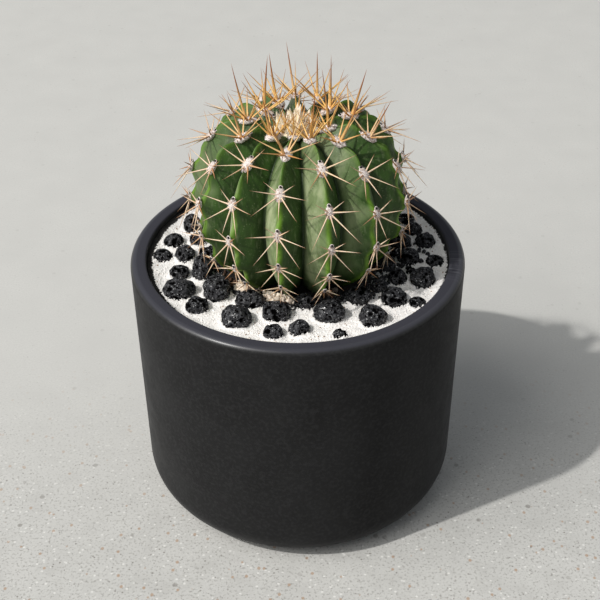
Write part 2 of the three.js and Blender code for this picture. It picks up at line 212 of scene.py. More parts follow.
class StemSettings(bpy.types.PropertyGroup):
    """Shape and colours of the ribbed stem"""
    groove_share: share("Groove share", "Depth of a groove as a share of the crest's radius", 0.262)
    shift: FloatVectorProperty(name="Shift", description="How far the stem stands off the pot's axis",
                               default=(0.9 * MM, -0.8 * MM, 0), unit="LENGTH")
    rows: count("Rows", "Rings of faces up the stem", 200)
    columns: count("Columns", "Faces across one rib", 28)
    notch: length("Notch", "How far the crest sinks between areoles", 3.0 * MM)
    crease: length("Crease", "Depth of the slanting creases on the flanks", 0.12 * MM)
    lobe: length("Lobe", "How far the crest swells between the crown's areoles", 2.6 * MM)
    crest: colour("Crest", "Yellow-green of the crests", (0.135, 0.27, 0.020))
    flank: colour("Flank", "Green of the flanks", (0.046, 0.106, 0.018))
    # Painted light: a lighter green for the flanks that face the sun's side, and where and how squarely
    # they must face it
    painted_lit: colour("Lit flank", "Green of the flanks that face the light", (0.080, 0.146, 0.034))
    # Painted shade: the deep green that darkens the grooves and creases
    shade: colour("Groove", "Deep green of the grooves", (0.014, 0.033, 0.007))
    # Whitish wax: real wax on all flanks, and laid thick on the sun's side as painted light
    wax_and_sheen: colour("Bloom", "Whitish wax on the flanks that face the light", (0.40, 0.45, 0.26))
    painted_light_turn: angle("Bloom turn", "Where the bloom is thickest, from the front to the right", -64)
    painted_light_rise: angle("Bloom rise", "How far up that side faces", 14)
    painted_light_edge: share("Bloom edge", "How squarely a flank faces that side where the bloom begins", 0.5)
    painted_light_full: share("Bloom full", "How squarely a flank faces that side where the bloom is full", 0.96)
    painted_light_left: share("Bloom on the left", "Share of the bloom that the stem's far left has", 0.3)
    roughness: share("Roughness", "Roughness of the skin", 0.48)


class AreoleSettings(bpy.types.PropertyGroup):
    """Places, felt and glands of the areoles"""
    start: length("Start", "Distance of the first areole from the crown's middle", 10.5 * MM)
    step: length("Step", "Distance from one areole to the next", 19.6 * MM)
    crowding: length("Crowding", "How much the oldest areoles crowd", 0.0744 * MM)
    last: length("Last", "Distance of the oldest areole", 106 * MM)
    young_reach: length("Young reach", "Distance within which areoles are young", 50 * MM)
    pad_length: number("Pad length", "Length of a felt pad as a multiple of its width", 1.45)
    pad_height: number("Pad height", "Height of a felt pad as a multiple of its half width", 0.6)
    hairs: count("Hairs", "Felt hairs on a pad", 120)
    hair_length: length("Hair length", "Length of a felt hair", 1.1 * MM)
    hair_radius: length("Hair radius", "Radius of a felt hair at its root", 0.17 * MM)
    gland_radius: length("Gland radius", "Radius of the dark gland above a pad", 0.6 * MM)
    seed: count("Seed", "Start of the random felt", 77)
    felt: colour("Felt", "Pale felt", (0.94, 0.88, 0.84))
    worn: colour("Worn felt", "Brownish felt between the pale tufts", (0.36, 0.20, 0.15))
    gland: colour("Gland", "Dark gland", (0.004, 0.003, 0.004))


class SpineSettings(bpy.types.PropertyGroup):
    """Sizes and colours of the spines"""
    central_length: length("Central length", "Length of a crown areole's middle spine", 26 * MM)
    central_youth: share("Central youth", "Youth from which areoles have a middle spine", 0.3)
    infant_youth: share("Infant youth", "Youth from which areoles are mostly wool", 0.74)
    thickness: length("Thickness", "Radius of a spine at its root", 0.46 * MM)
    taper: number("Taper", "How evenly a spine narrows, 1 for a plain cone", 0.85)
    old_lift: angle("Old lift", "Rise of an old spine from the rib", 21)
    young_lift: angle("Young lift", "Rise of a young spine from the rib", 62)
    spread: angle("Spread", "Random turn of a spine", 8)
    clearance: length("Clearance", "Room that a spine keeps to sand and pebbles", 0.9 * MM)
    seed: count("Seed", "Start of the random spines", 19)
    old: colour("Old", "Cream of the old spines", (0.90, 0.72, 0.53))
    # Painted shade: the darker tan at an old spine's edges
    old_edge_shade: colour("Old edge", "Tan at an old spine's edges", (0.47, 0.23, 0.10))
    old_tip: colour("Old tip", "Brown tip of the old spines", (0.36, 0.16, 0.08))
    young: colour("Young", "Amber of the young spines", (0.95, 0.62, 0.22))
    # Painted shade: the darker orange at a young spine's edges
    young_edge_shade: colour("Young edge", "Orange at a young spine's edges", (0.66, 0.31, 0.065))
    young_tip: colour("Young tip", "Dark tip of the young spines", (0.26, 0.08, 0.03))
    dark: colour("Dark", "Orange-brown of the middle spines", (0.30, 0.085, 0.014))
    young_bulk: number("Young bulk", "How much thicker a young spine is than an old one", 0.4)
    infants: count("Infants", "Upright spines on each of the youngest areoles", 2)


class CrownSettings(bpy.types.PropertyGroup):
    """Wool in the crown and the dry litter round the base"""
    tufts: count("Tufts", "Woolly tufts in the crown", 24)
    tuft_length: length("Tuft length", "Length of a woolly tuft", 13 * MM)
    tuft_width: length("Tuft width", "Half the width of a woolly tuft", 2.8 * MM)
    tuft_depth: length("Tuft depth", "Half the thickness of a woolly tuft", 1.2 * MM)
    spread: length("Spread", "Radius of the tufted middle", 7.5 * MM)
    mound_radius: length("Mound radius", "Radius of the felt under the tufts", 10 * MM)
    mound_height: length("Mound height", "Height of the felt under the tufts", 1.8 * MM)
    fibres: count("Fibres", "Loose fibres in the wool", 300)
    fibre_radius: length("Fibre radius", "Radius of a loose fibre at its root", 0.13 * MM)
    wool: colour("Wool", "Cream wool", (1.0, 0.88, 0.66))
    crumbs: count("Crumbs", "Dry crumbs in a full heap", 64)
    crumb_size: length("Crumb size", "Radius of a dry crumb", 1.25 * MM)
    pale: colour("Pale litter", "Bleached husk", (1.0, 0.87, 0.73))
    brown: colour("Brown litter", "Brown husk", (0.095, 0.052, 0.032))
    seed: count("Seed", "Start of the random wool and litter", 5)


class StageSettings(bpy.types.PropertyGroup):
    """Camera, light and floor"""
    pitch: angle("Pitch", "How far the camera looks down", 35.5)
    roll: angle("Roll", "How far the camera is turned about its own axis", -0.46)
    lens: number("Lens", "Focal length in millimetres on a 36 mm sensor", 73.65)
    distance: length("Distance", "From the camera to the point that it looks at", 606 * MM)
    aim_height: length("Aim height", "Height of the point that the camera looks at", 102.6 * MM)
    aim_side: length("Aim side", "How far that point lies to the right of the pot's axis", 0.94 * MM)
    sun_elevation: angle("Sun elevation", "Height of the sun above the horizon", 49)
    sun_turn: angle("Sun turn", "How far the sunlight turns from straight right to the back", 27.5)
    sun_size: angle("Sun size", "Apparent width of the sun", 1.4)
    sun_strength: number("Sun strength", "Strength of the sunlight", 2.08)
    sun_colour: colour("Sun colour", "Colour of the sunlight", (1.0, 0.985, 0.95))
    soft_power: number("Soft power", "Power of the wide soft light beside the sun, in watts", 98)
    soft_distance: length("Soft distance", "From the object to the soft light", 4)
    soft_size: length("Soft size", "Width of the soft light", 3.6)
    soft_elevation: angle("Soft elevation", "Height of the soft light above the horizon", 44)
    sky_strength: number("Sky strength", "Strength of the light from all round", 0.28)
    sky_colour: colour("Sky colour", "Colour of the light from all round", (0.90, 0.95, 1.0))
    floor_size: length("Floor size", "Width of the floor", 12)
    floor: colour("Floor", "Pale floor", (0.635, 0.628, 0.602))
    floor_dark: colour("Floor mottle", "Darker mottle of the floor", (0.560, 0.554, 0.533))
    floor_chip: colour("Floor chip", "Dark chips of stone in the floor", (0.20, 0.185, 0.165))
    floor_grit: colour("Floor grit", "Grey grit in the floor's front", (0.33, 0.32, 0.30))
    floor_pale: colour("Floor pale chip", "Pale chips of stone in the floor", (0.84, 0.83, 0.80))
    floor_tan: colour("Floor tan chip", "Tan chips of stone in the floor", (0.42, 0.27, 0.17))


def deselect_all():
    bpy.ops.object.select_all(action="DESELECT")


def adopt(name):
    """Names the new primitive and puts its place into its mesh"""
    piece = bpy.context.object
    piece.name = name
    piece.data.name = name
    bpy.ops.object.transform_apply(location=True, rotation=True, scale=True)
    return piece


def enter_edit(piece):
    deselect_all()
    bpy.context.view_layer.objects.active = piece
    piece.select_set(True)
    bpy.ops.object.mode_set(mode="EDIT")


def leave_edit():
    bpy.ops.object.mode_set(mode="OBJECT")


def pick(piece, kind, test):
    """In edit mode, selects only the faces or edges that pass the test"""
    bpy.ops.mesh.select_mode(type=kind)
    bpy.ops.mesh.select_all(action="DESELECT")
    shape = bmesh.from_edit_mesh(piece.data)
    found = 0
    for item in shape.faces if kind == "FACE" else shape.edges:
        if test(item):
            item.select_set(True)
            found += 1
    shape.select_flush_mode()
    bmesh.update_edit_mesh(piece.data)
    if found == 0:
        raise RuntimeError(f"nothing to select on {piece.name}")


def on_ring(radius, height, slack=0.05 * MM):
    """Test for an edge that lies on a level ring round the axis"""
    def test(edge):
        return all(
            abs(math.hypot(v.co.x, v.co.y) - radius) < slack and abs(v.co.z - height) < slack
            for v in edge.verts
        )
    return test


def face_towards(up, height, slack=0.05 * MM):
    """Test for a level face that looks up or down at a height"""
    def test(face):
        return face.normal.z * up > 0.99 and abs(face.calc_center_median().z - height) < slack
    return test


def coordinates(mesh):
    points = np.empty(len(mesh.vertices) * 3)
    mesh.vertices.foreach_get("co", points)
    return points.reshape(-1, 3)


def set_coordinates(mesh, points):
    mesh.vertices.foreach_set("co", np.asarray(points, np.float32).ravel())
    mesh.update()


def paint(mesh, name, values):
    """Stores one value per vertex for the material to read"""
    layer = mesh.attributes.new(name, "FLOAT", "POINT")
    layer.data.foreach_set("value", np.asarray(values, np.float32))


def normalised(vectors):
    return vectors / np.linalg.norm(vectors, axis=-1, keepdims=True)


def wobble(points, size, octaves=2):
    """Soft noise at each point, about -1 to 1, with waves of a size in metres"""
    scaled = np.asarray(points) / size
    return np.array([noise.fractal(Vector(p), 0.8, 2.1, octaves) for p in scaled])


def lumpy(unit, random, height, size, octaves=2):
    """A unit ball's points with lumps that differ from one call to the next"""
    lumps = wobble(unit + random.uniform(-9, 9, 3), size, octaves)
    return unit * (1 + height * lumps)[:, None]


def copies(name, prototype, placed, marks):
    """One object of many copies of a prototype, from an array of copy, vertex and axis.
    marks holds each attribute's values, for each copy and vertex."""
    total, size = placed.shape[:2]
    pattern = [tuple(face.vertices) for face in prototype.polygons]
    faces = [tuple(i + k * size for i in face) for k in range(total) for face in pattern]
    mesh = bpy.data.meshes.new(name)
    mesh.from_pydata(placed.reshape(-1, 3).tolist(), [], faces)
    for mark, values in marks.items():
        paint(mesh, mark, np.broadcast_to(values, (total, size)).ravel())
    piece = bpy.data.objects.new(name, mesh)
    bpy.context.collection.objects.link(piece)
    return piece


def pattern_of(add, **sizes):
    """A new primitive's mesh without its object, and its points, to make copies from"""
    deselect_all()
    add(**sizes)
    bpy.ops.object.transform_apply(location=True, rotation=True, scale=True)
    piece = bpy.context.object
    mesh = piece.data
    bpy.data.objects.remove(piece)
    return mesh, coordinates(mesh)


def cone_pattern(sides, cuts=()):
    """The same for a cone of radius and height 1, cut across at some heights"""
    deselect_all()
    bpy.ops.mesh.primitive_cone_add(vertices=sides, radius1=1, radius2=0, depth=1, location=(0, 0, 0.5))
    cone = adopt("cone_pattern")
    enter_edit(cone)
    for height in cuts:
        bpy.ops.mesh.select_all(action="SELECT")
        bpy.ops.mesh.bisect(plane_co=(0, 0, height), plane_no=(0, 0, 1))
    leave_edit()
    mesh = cone.data
    bpy.data.objects.remove(cone)
    return mesh, coordinates(mesh)


def dress(piece, material, nodes=(), smooth=180):
    """Gives a finished piece its material and shading, and ties it to the frame"""
    piece.data.materials.clear()
    piece.data.materials.append(material)
    deselect_all()
    bpy.context.view_layer.objects.active = piece
    piece.select_set(True)
    if smooth >= 180:
        bpy.ops.object.shade_smooth()
    else:
        bpy.ops.object.shade_smooth_by_angle(angle=math.radians(smooth))
    piece.select_set(False)
    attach(piece, "root")
    if nodes:
        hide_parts(*nodes)
    return piece


class Graph:
    """Builds a node tree with a line for each node"""

    def __init__(self, tree):
        self.tree = tree

    def node(self, kind, options=None, **inputs):
        made = self.tree.nodes.new("ShaderNode" + kind)
        for key, value in (options or {}).items():
            setattr(made, key, value)
        for key, value in inputs.items():
            self.feed(made.inputs[key.replace("_", " ")], value)
        return made

    def feed(self, socket, value):
        """Links another node's output to a socket, or sets the socket's own value"""
        if isinstance(value, bpy.types.NodeSocket):
            self.tree.links.new(value, socket)
        elif hasattr(value, "__len__") and len(value) == 3 and socket.type == "RGBA":
            socket.default_value = (*value, 1)
        else:
            socket.default_value = value

    def math(self, operation, first, second=0.0):
        made = self.node("Math", {"operation": operation})
        self.feed(made.inputs[0], first)
        self.feed(made.inputs[1], second)
        return made.outputs[0]

    def times(self, first, second):
        return self.math("MULTIPLY", first, second)

    def plus(self, first, second):
        return self.math("ADD", first, second)

    def larger(self, first, second):
        return self.math("MAXIMUM", first, second)

    def rest(self, value):
        return self.math("SUBTRACT", 1.0, value)

    def ramp(self, value, low, high, to_low=0.0, to_high=1.0):
        """Takes a value smoothly from one range to another"""
        made = self.node("MapRange", {"interpolation_type": "SMOOTHSTEP"}, Value=value)
        for key, setting in zip(("From Min", "From Max", "To Min", "To Max"),
                                (low, high, to_low, to_high)):
            made.inputs[key].default_value = setting
        return made.outputs[0]

    def mix(self, factor, first, second):
        made = self.node("Mix", {"data_type": "RGBA"})
        self.feed(made.inputs[0], factor)
        self.feed(made.inputs[6], first)
        self.feed(made.inputs[7], second)
        return made.outputs[2]

    def place(self):
        return self.node("TexCoord").outputs["Object"]

    def mark(self, name):
        """The values that paint stored on the mesh"""
        return self.node("Attribute", {"attribute_name": name}).outputs["Fac"]

    def axes(self, vector):
        return self.node("SeparateXYZ", Vector=vector).outputs

    def stretched(self, vector, scale):
        return self.node("Mapping", Vector=vector, Scale=scale).outputs["Vector"]

    def from_axis(self, vector):
        """Distance from the pot's axis"""
        made = self.node("VectorMath", {"operation": "LENGTH"})
        self.feed(made.inputs[0], self.stretched(vector, (1, 1, 0)))
        return made.outputs["Value"]

    def noise(self, vector, size, detail=3.0, roughness=0.55):
        """Noise with lumps of a size in metres"""
        made = self.node("TexNoise", Vector=vector, Scale=1 / size, Detail=detail, Roughness=roughness)
        return made.outputs["Fac"]

    def cells(self, vector, size):
        """Distance from the middle of the nearest of many cells of a size in metres"""
        made = self.node("TexVoronoi", Vector=vector, Scale=1 / size)
        return made.outputs["Distance"]

    def dots(self, vector, size, core, edge, strength=1.0):
        """A dot in each cell, of full strength within its core and gone at its edge"""
        return self.ramp(self.cells(vector, size), core, edge, strength, 0.0)

    def group(self, tree, **inputs):
        made = self.tree.nodes.new("ShaderNodeGroup")
        made.node_tree = tree
        for key, value in inputs.items():
            self.feed(made.inputs[key.replace("_", " ")], value)
        return made.outputs


def new_group(name, inputs, outputs):
    """An empty shader group with named sockets, and the nodes at its two ends"""
    tree = bpy.data.node_groups.new(name, "ShaderNodeTree")
    for label, kind in inputs:
        tree.interface.new_socket(label, in_out="INPUT", socket_type="NodeSocket" + kind)
    for label, kind in outputs:
        tree.interface.new_socket(label, in_out="OUTPUT", socket_type="NodeSocket" + kind)
    return tree, tree.nodes.new("NodeGroupInput").outputs, tree.nodes.new("NodeGroupOutput").inputs


def mottle_group():
    """Two colours in soft patches with finer ones inside them"""
    if "cactus mottle" in bpy.data.node_groups:
        return bpy.data.node_groups["cactus mottle"]
    tree, given, made = new_group(
        "cactus mottle",
        [("Vector", "Vector"), ("Scale", "Float"), ("First", "Color"), ("Second", "Color"),
         ("Contrast", "Float")],
        [("Color", "Color")],
    )
    graph = Graph(tree)
    broad = graph.node("TexNoise", Vector=given["Vector"], Scale=given["Scale"], Detail=5.0).outputs["Fac"]
    pushed = graph.times(graph.math("SUBTRACT", broad, 0.5), given["Contrast"])
    mask = graph.node("Clamp", Value=graph.plus(pushed, 0.5)).outputs[0]
    graph.feed(made["Color"], graph.mix(mask, given["First"], given["Second"]))
    return tree


def mottled(graph, vector, first, second, scale, contrast):
    """The colour that the mottle group puts out, with its own values"""
    return graph.group(mottle_group(), Vector=vector, Scale=scale, First=first, Second=second,
                       Contrast=contrast)["Color"]


def grain_group():
    """A bump of fine grain"""
    if "cactus grain" in bpy.data.node_groups:
        return bpy.data.node_groups["cactus grain"]
    tree, given, made = new_group(
        "cactus grain",
        [("Vector", "Vector"), ("Scale", "Float"), ("Strength", "Float"), ("Distance", "Float")],
        [("Normal", "Vector")],
    )
    graph = Graph(tree)
    fine = graph.node("TexNoise", Vector=given["Vector"], Scale=given["Scale"], Detail=4.0,
                      Roughness=0.6).outputs["Fac"]
    bump = graph.node("Bump", Height=fine, Strength=given["Strength"], Distance=given["Distance"])
    graph.feed(made["Normal"], bump.outputs["Normal"])
    return tree


def add_grain(graph, shader, vector, scale, strength, depth):
    """Roughens a surface with the grain group; depth is in metres"""
    grain = graph.group(grain_group(), Vector=vector, Scale=scale, Strength=strength, Distance=depth)
    graph.feed(shader["Normal"], grain["Normal"])


def new_material(name, **fixed):
    """A material and its graph; fixed are the shader's settings that are the same all over"""
    material = bpy.data.materials.new(name)
    material.use_nodes = True
    graph = Graph(material.node_tree)
    shader = material.node_tree.nodes["Principled BSDF"]
    for key, value in fixed.items():
        graph.feed(shader.inputs[key.replace("_", " ")], value)
    return material, graph, shader.inputs


def scaled(shade, factor):
    """The same colour, lighter or darker by a factor"""
    return [factor * part for part in shade]


def pot_material(look):
    material, graph, shader = new_material("charcoal glaze", Specular_IOR_Level=0.01,
                                           Sheen_Weight=0.07, Sheen_Roughness=0.45,
                                           Coat_Roughness=0.31, Coat_IOR=1.5)
    place = graph.place()
    body = mottled(graph, place, look.body, look.haze, scale=42.0, contrast=1.7)
    # Pale streaks across the rim on one side, drawn out from the middle
    axes = graph.axes(place)
    turn = graph.math("ARCTAN2", axes["X"], graph.times(axes["Y"], -1.0))
    off = graph.math("ABSOLUTE", graph.math("SUBTRACT", turn, look.scuff_azimuth))
    near = graph.ramp(off, math.radians(3), math.radians(12), 1.0, 0.0)
    top = graph.ramp(axes["Z"], RIM - 3 * MM, RIM - 1 * MM)
    outwards = graph.node("CombineXYZ", X=turn, Y=0.0, Z=0.0).outputs[0]
    streaks = graph.node("TexNoise", Vector=outwards, Scale=60.0, Detail=4.0).outputs["Fac"]
    scuffed = graph.times(graph.times(near, top), graph.ramp(streaks, 0.46, 0.66))
    specks = graph.ramp(graph.noise(place, 1.7 * MM, 2.0), 0.42, 0.70, 0.0, 0.34)
    specked = graph.mix(specks, body, scaled(look.haze, 1.8))
    # Painted reflection: the rim's flat top takes the bluish dust colour in place of the reflected sky
    dusted = graph.mix(graph.ramp(axes["Z"], RIM - 1.4 * MM, RIM - 0.2 * MM), specked, look.dust)
    graph.feed(shader["Base Color"], graph.mix(scuffed, dusted, look.scuff))
    uneven = graph.noise(place, 9 * MM)
    rough = graph.ramp(uneven, 0.3, 0.7, look.roughness - 0.05, look.roughness + 0.09)
    graph.feed(shader["Roughness"], rough)
    # The rounded edge of the rim is polished by handling
    outside = graph.ramp(graph.from_axis(place), POT_HIGH.x - 3.6 * MM, POT_HIGH.x - 2.4 * MM)
    edge = graph.times(outside, graph.ramp(axes["Z"], RIM - 2.4 * MM, RIM - 1.0 * MM))
    graph.feed(shader["Coat Weight"], graph.times(edge, look.polish))
    add_grain(graph, shader, place, scale=1100.0, strength=0.25, depth=0.12 * MM)
    return material


def soil_material(look):
    material, graph, shader = new_material("potting soil", Specular_IOR_Level=0.2, Roughness=1.0)
    place = graph.place()
    body = mottled(graph, place, look.soil, scaled(look.soil, 1.8), scale=300.0, contrast=2.5)
    graph.feed(shader["Base Color"], body)
    add_grain(graph, shader, place, scale=420.0, strength=0.9, depth=1.5 * MM)
    return material


def sand_material(look):
    material, graph, shader = new_material("pale sand", Specular_IOR_Level=0.3, Roughness=0.9)
    place = graph.place()
    patches = mottled(graph, place, look.light, look.dusty, scale=1250.0, contrast=4.0)
    broad = graph.ramp(graph.noise(place, 14 * MM), 0.45, 0.72, 0.0, 0.3)
    tinted = graph.mix(broad, patches, look.dusty)
    grains = graph.mix(graph.ramp(graph.mark("tint"), 0.3, 0.8, 0.0, 0.8), tinted, look.dusty)
    brown = graph.mix(graph.ramp(graph.mark("tint"), 0.94, 0.97), grains, look.speck)
    rare = graph.ramp(graph.noise(place, 4 * MM), 0.55, 0.62)
    specks = graph.times(graph.dots(place, 1.9 * MM, 0.12, 0.19), rare)
    specked = graph.mix(specks, brown, look.speck)
    # Painted shade: a dark band against the wall, wider on the left where the rim shades the sand, and a
    # dark ring round the stem's foot under its overhang
    out = graph.from_axis(place)
    shade_widened = graph.ramp(graph.axes(place)["X"], -65 * MM, 15 * MM, look.wall_shade_width + look.wall_shade_left,
                         look.wall_shade_width)
    ragged = graph.ramp(graph.noise(place, 1.3 * MM), 0.3, 0.7, -0.5 * MM, 0.5 * MM)
    reach = graph.plus(graph.plus(out, shade_widened), ragged)
    wall_shade = graph.ramp(reach, SAND_HIGH.x - 0.15 * MM, SAND_HIGH.x + 0.15 * MM)
    uneven = graph.ramp(graph.noise(place, 4 * MM), 0.3, 0.7, -2.5 * MM, 2.5 * MM)
    stem_shade = graph.ramp(graph.plus(out, uneven), look.foot - 0.6 * MM, look.foot + 0.6 * MM, 1.0, 0.0)
    graph.feed(shader["Base Color"], graph.mix(graph.larger(wall_shade, stem_shade), specked, look.painted_shade))
    add_grain(graph, shader, place, scale=1300.0, strength=1.0, depth=0.5 * MM)
    return material


def lava_material(look):
    material, graph, shader = new_material("porous lava", Specular_IOR_Level=0.04, Roughness=0.9,
                                           Coat_Roughness=look.glassy)
    place = graph.place()
    body = mottled(graph, place, look.body, look.dust, scale=640.0, contrast=2.8)
    # Greyer worn lava on the raised chips and plain dark lava low between them: partly wear, partly painted
    # shade in the hollows
    raised = graph.mix(graph.mark("ridge"), look.body, body)
    # Painted shade: pits of two sizes, bent out of shape, and the modelled pores are painted near black
    # inside
    warped = graph.node("VectorMath", {"operation": "MULTIPLY_ADD"})
    swirl = graph.node("TexNoise", Vector=place, Scale=700.0, Detail=2.0).outputs["Color"]
    for socket, value in zip(warped.inputs, (swirl, (0.9 * MM, 0.9 * MM, 0.9 * MM), place)):
        graph.feed(socket, value)
    bent = warped.outputs["Vector"]
    pits = graph.ramp(graph.cells(bent, look.pit), 0.22, 0.34)
    fine = graph.ramp(graph.cells(bent, look.pit * 0.45), 0.24, 0.40)
    hollow = graph.larger(graph.mark("pore"), graph.rest(pits))
    pit_shade = graph.larger(hollow, graph.ramp(fine, 0.0, 1.0, 0.75, 0.0))
    # Pale flecks show on the ridges between them: crystals in the lava, and painted glints
    glint_flecks = graph.times(graph.dots(place, 0.95 * MM, 0.17, 0.24), graph.mark("ridge"))
    glint_spots = graph.times(glint_flecks, graph.rest(hollow))
    stone = graph.mix(pit_shade, raised, look.hollow)
    graph.feed(shader["Base Color"], graph.mix(graph.times(glint_spots, 0.9), stone, look.glint_fleck))
    bare = graph.larger(pit_shade, graph.ramp(graph.noise(place, 1.1 * MM), 0.40, 0.60))
    graph.feed(shader["Coat Weight"], graph.ramp(bare, 0.0, 1.0, look.gloss, 0.0))
    rubble = graph.times(graph.noise(place, 1.4 * MM, 3.0, 0.6), 3.0)
    relief = graph.plus(graph.plus(pits, graph.times(fine, 0.6)), rubble)
    bump = graph.node("Bump", Height=relief, Strength=1.0, Distance=0.6 * MM)
    graph.feed(shader["Normal"], bump.outputs["Normal"])
    return material


def skin_material(look):
    material, graph, shader = new_material("waxy green skin", Specular_IOR_Level=0.3,
                                           Subsurface_Weight=0.04, Subsurface_Scale=2 * MM,
                                           Subsurface_Radius=(0.5, 1.0, 0.25))
    place = graph.place()
    flank = graph.mark("flank")
    # Painted light: flanks that face the sun's side get a lighter green and thick whitish wax in clouds;
    # the wax's fine streaks and dots lie on all flanks but are stronger there
    along = graph.stretched(place, (1, 1, 0.4))
    height = graph.axes(place)["Z"]
    clouds = graph.ramp(graph.noise(along, 7 * MM, 5.0, 0.65), 0.38, 0.64, 0.32, 1.0)
    # The painted light fades towards the top
    low = graph.ramp(height, RIM + 48 * MM, RIM + 64 * MM, 1.0, 0.55)
    painted_sunlight = graph.times(graph.mark("painted_sunlight"), low)
    scattered = graph.ramp(graph.noise(place, 4 * MM), 0.40, 0.60, 0.05, 0.42)
    dusted = graph.times(graph.dots(place, 1.3 * MM, 0.16, 0.28), scattered)
    scratched = graph.stretched(place, (1, 1, 0.22))
    streaks = graph.ramp(graph.noise(scratched, 1.5 * MM, 4.0), 0.52, 0.70, 0.0, 0.38)
    facing = graph.ramp(graph.mark("painted_sunlight"), 0.0, 1.0, 0.45, 1.0)
    marked = graph.times(graph.larger(dusted, streaks), facing)
    green = mottled(graph, along, look.flank, scaled(look.flank, 0.5), scale=210.0, contrast=3.4)
    painted_lit = graph.mix(painted_sunlight, green, look.painted_lit)
    waxed = graph.mix(graph.larger(graph.times(painted_sunlight, clouds), marked), painted_lit, look.wax_and_sheen)
    # Grooves get painted shade in deep green and crests are yellow-green, most of all low down
    deep = graph.mix(graph.ramp(flank, 0.72, 1.0), waxed, look.shade)
    faded = graph.ramp(height, RIM + 44 * MM, RIM + 62 * MM, 1.0, 0.4)
    ridge = graph.times(graph.ramp(flank, 0.04, 0.19, 1.0, 0.0), faded)
    uneven = graph.ramp(graph.noise(place, 5 * MM), 0.3, 0.75, 0.65, 1.0)
    crested = graph.mix(graph.times(ridge, uneven), deep, look.crest)
    # The creases are darkened with the same deep green as painted shade
    crease = graph.times(graph.mark("crease"), 0.55)
    graph.feed(shader["Base Color"], graph.mix(crease, crested, look.shade))
    rough = graph.ramp(graph.noise(place, 3.5 * MM), 0.3, 0.7, look.roughness - 0.08,
                       look.roughness + 0.14)
    graph.feed(shader["Roughness"], rough)
    drawn_out = graph.stretched(place, (1, 1, 0.5))
    add_grain(graph, shader, drawn_out, scale=620.0, strength=0.32, depth=0.25 * MM)
    return material


def felt_material(name, fresh, worn):
    material, graph, shader = new_material(name, Specular_IOR_Level=0.15, Roughness=0.95,
                                           Sheen_Weight=0.25, Sheen_Roughness=0.5)
    place = graph.place()
    body = graph.mix(graph.mark("youth"), worn, fresh)
    dirty = graph.ramp(graph.noise(place, 0.75 * MM, 1.0), 0.55, 0.63, 0.0, 0.85)
    graph.feed(shader["Base Color"], graph.mix(dirty, body, worn))
    add_grain(graph, shader, place, scale=2600.0, strength=0.8, depth=0.3 * MM)
    return material


def gland_material(look):
    material, graph, shader = new_material("dark gland", Specular_IOR_Level=0.35, Roughness=0.2)
    body = mottled(graph, graph.place(), look.gland, scaled(look.gland, 5), scale=1500.0, contrast=1.5)
    graph.feed(shader["Base Color"], body)
    return material


def spine_material(look):
    material, graph, shader = new_material("horny spine", Specular_IOR_Level=0.45,
                                           Subsurface_Weight=0.12, Subsurface_Scale=0.6 * MM,
                                           Subsurface_Radius=(1.0, 0.6, 0.3))
    along = graph.mark("along")
    youth = graph.ramp(graph.mark("youth"), 0.1, 0.6)
    # Painted shade and translucency: where a spine turns away from the view its colour goes to a darker tan
    # or orange
    edge = graph.ramp(graph.node("LayerWeight", Blend=0.5).outputs["Facing"], 0.12, 0.62)
    cream = graph.mix(edge, look.old, look.old_edge_shade)
    amber = graph.mix(edge, look.young, look.young_edge_shade)
    old = graph.mix(graph.ramp(along, 0.6, 1.0), cream, look.old_tip)
    young = graph.mix(graph.ramp(along, 0.45, 1.0), amber, look.young_tip)
    body = graph.mix(youth, old, young)
    # The tint marks the middle spines, which are redder away from their roots
    outer = graph.ramp(along, 0.05, 0.75, 0.0, 0.95)
    reddish = graph.times(graph.ramp(graph.mark("tint"), 0.3, 0.9), outer)
    warm = graph.mix(reddish, body, look.dark)
    bands = graph.noise(graph.place(), 0.9 * MM, 2.0)
    shaded = graph.mix(graph.ramp(bands, 0.45, 0.75, 0.0, 0.28), warm, look.old_tip)
    graph.feed(shader["Base Color"], shaded)
    graph.feed(shader["Roughness"], graph.ramp(bands, 0.3, 0.7, 0.36, 0.56))
    return material


def litter_material(look):
    material, graph, shader = new_material("dry litter", Specular_IOR_Level=0.25, Roughness=0.8)
    place = graph.place()
    body = graph.mix(graph.ramp(graph.mark("tint"), 0.35, 0.95), look.pale, look.brown)
    dirty = graph.ramp(graph.noise(place, 0.7 * MM), 0.48, 0.7, 0.0, 0.4)
    graph.feed(shader["Base Color"], graph.mix(dirty, body, look.brown))
    add_grain(graph, shader, place, scale=1500.0, strength=0.6, depth=0.3 * MM)
    return material


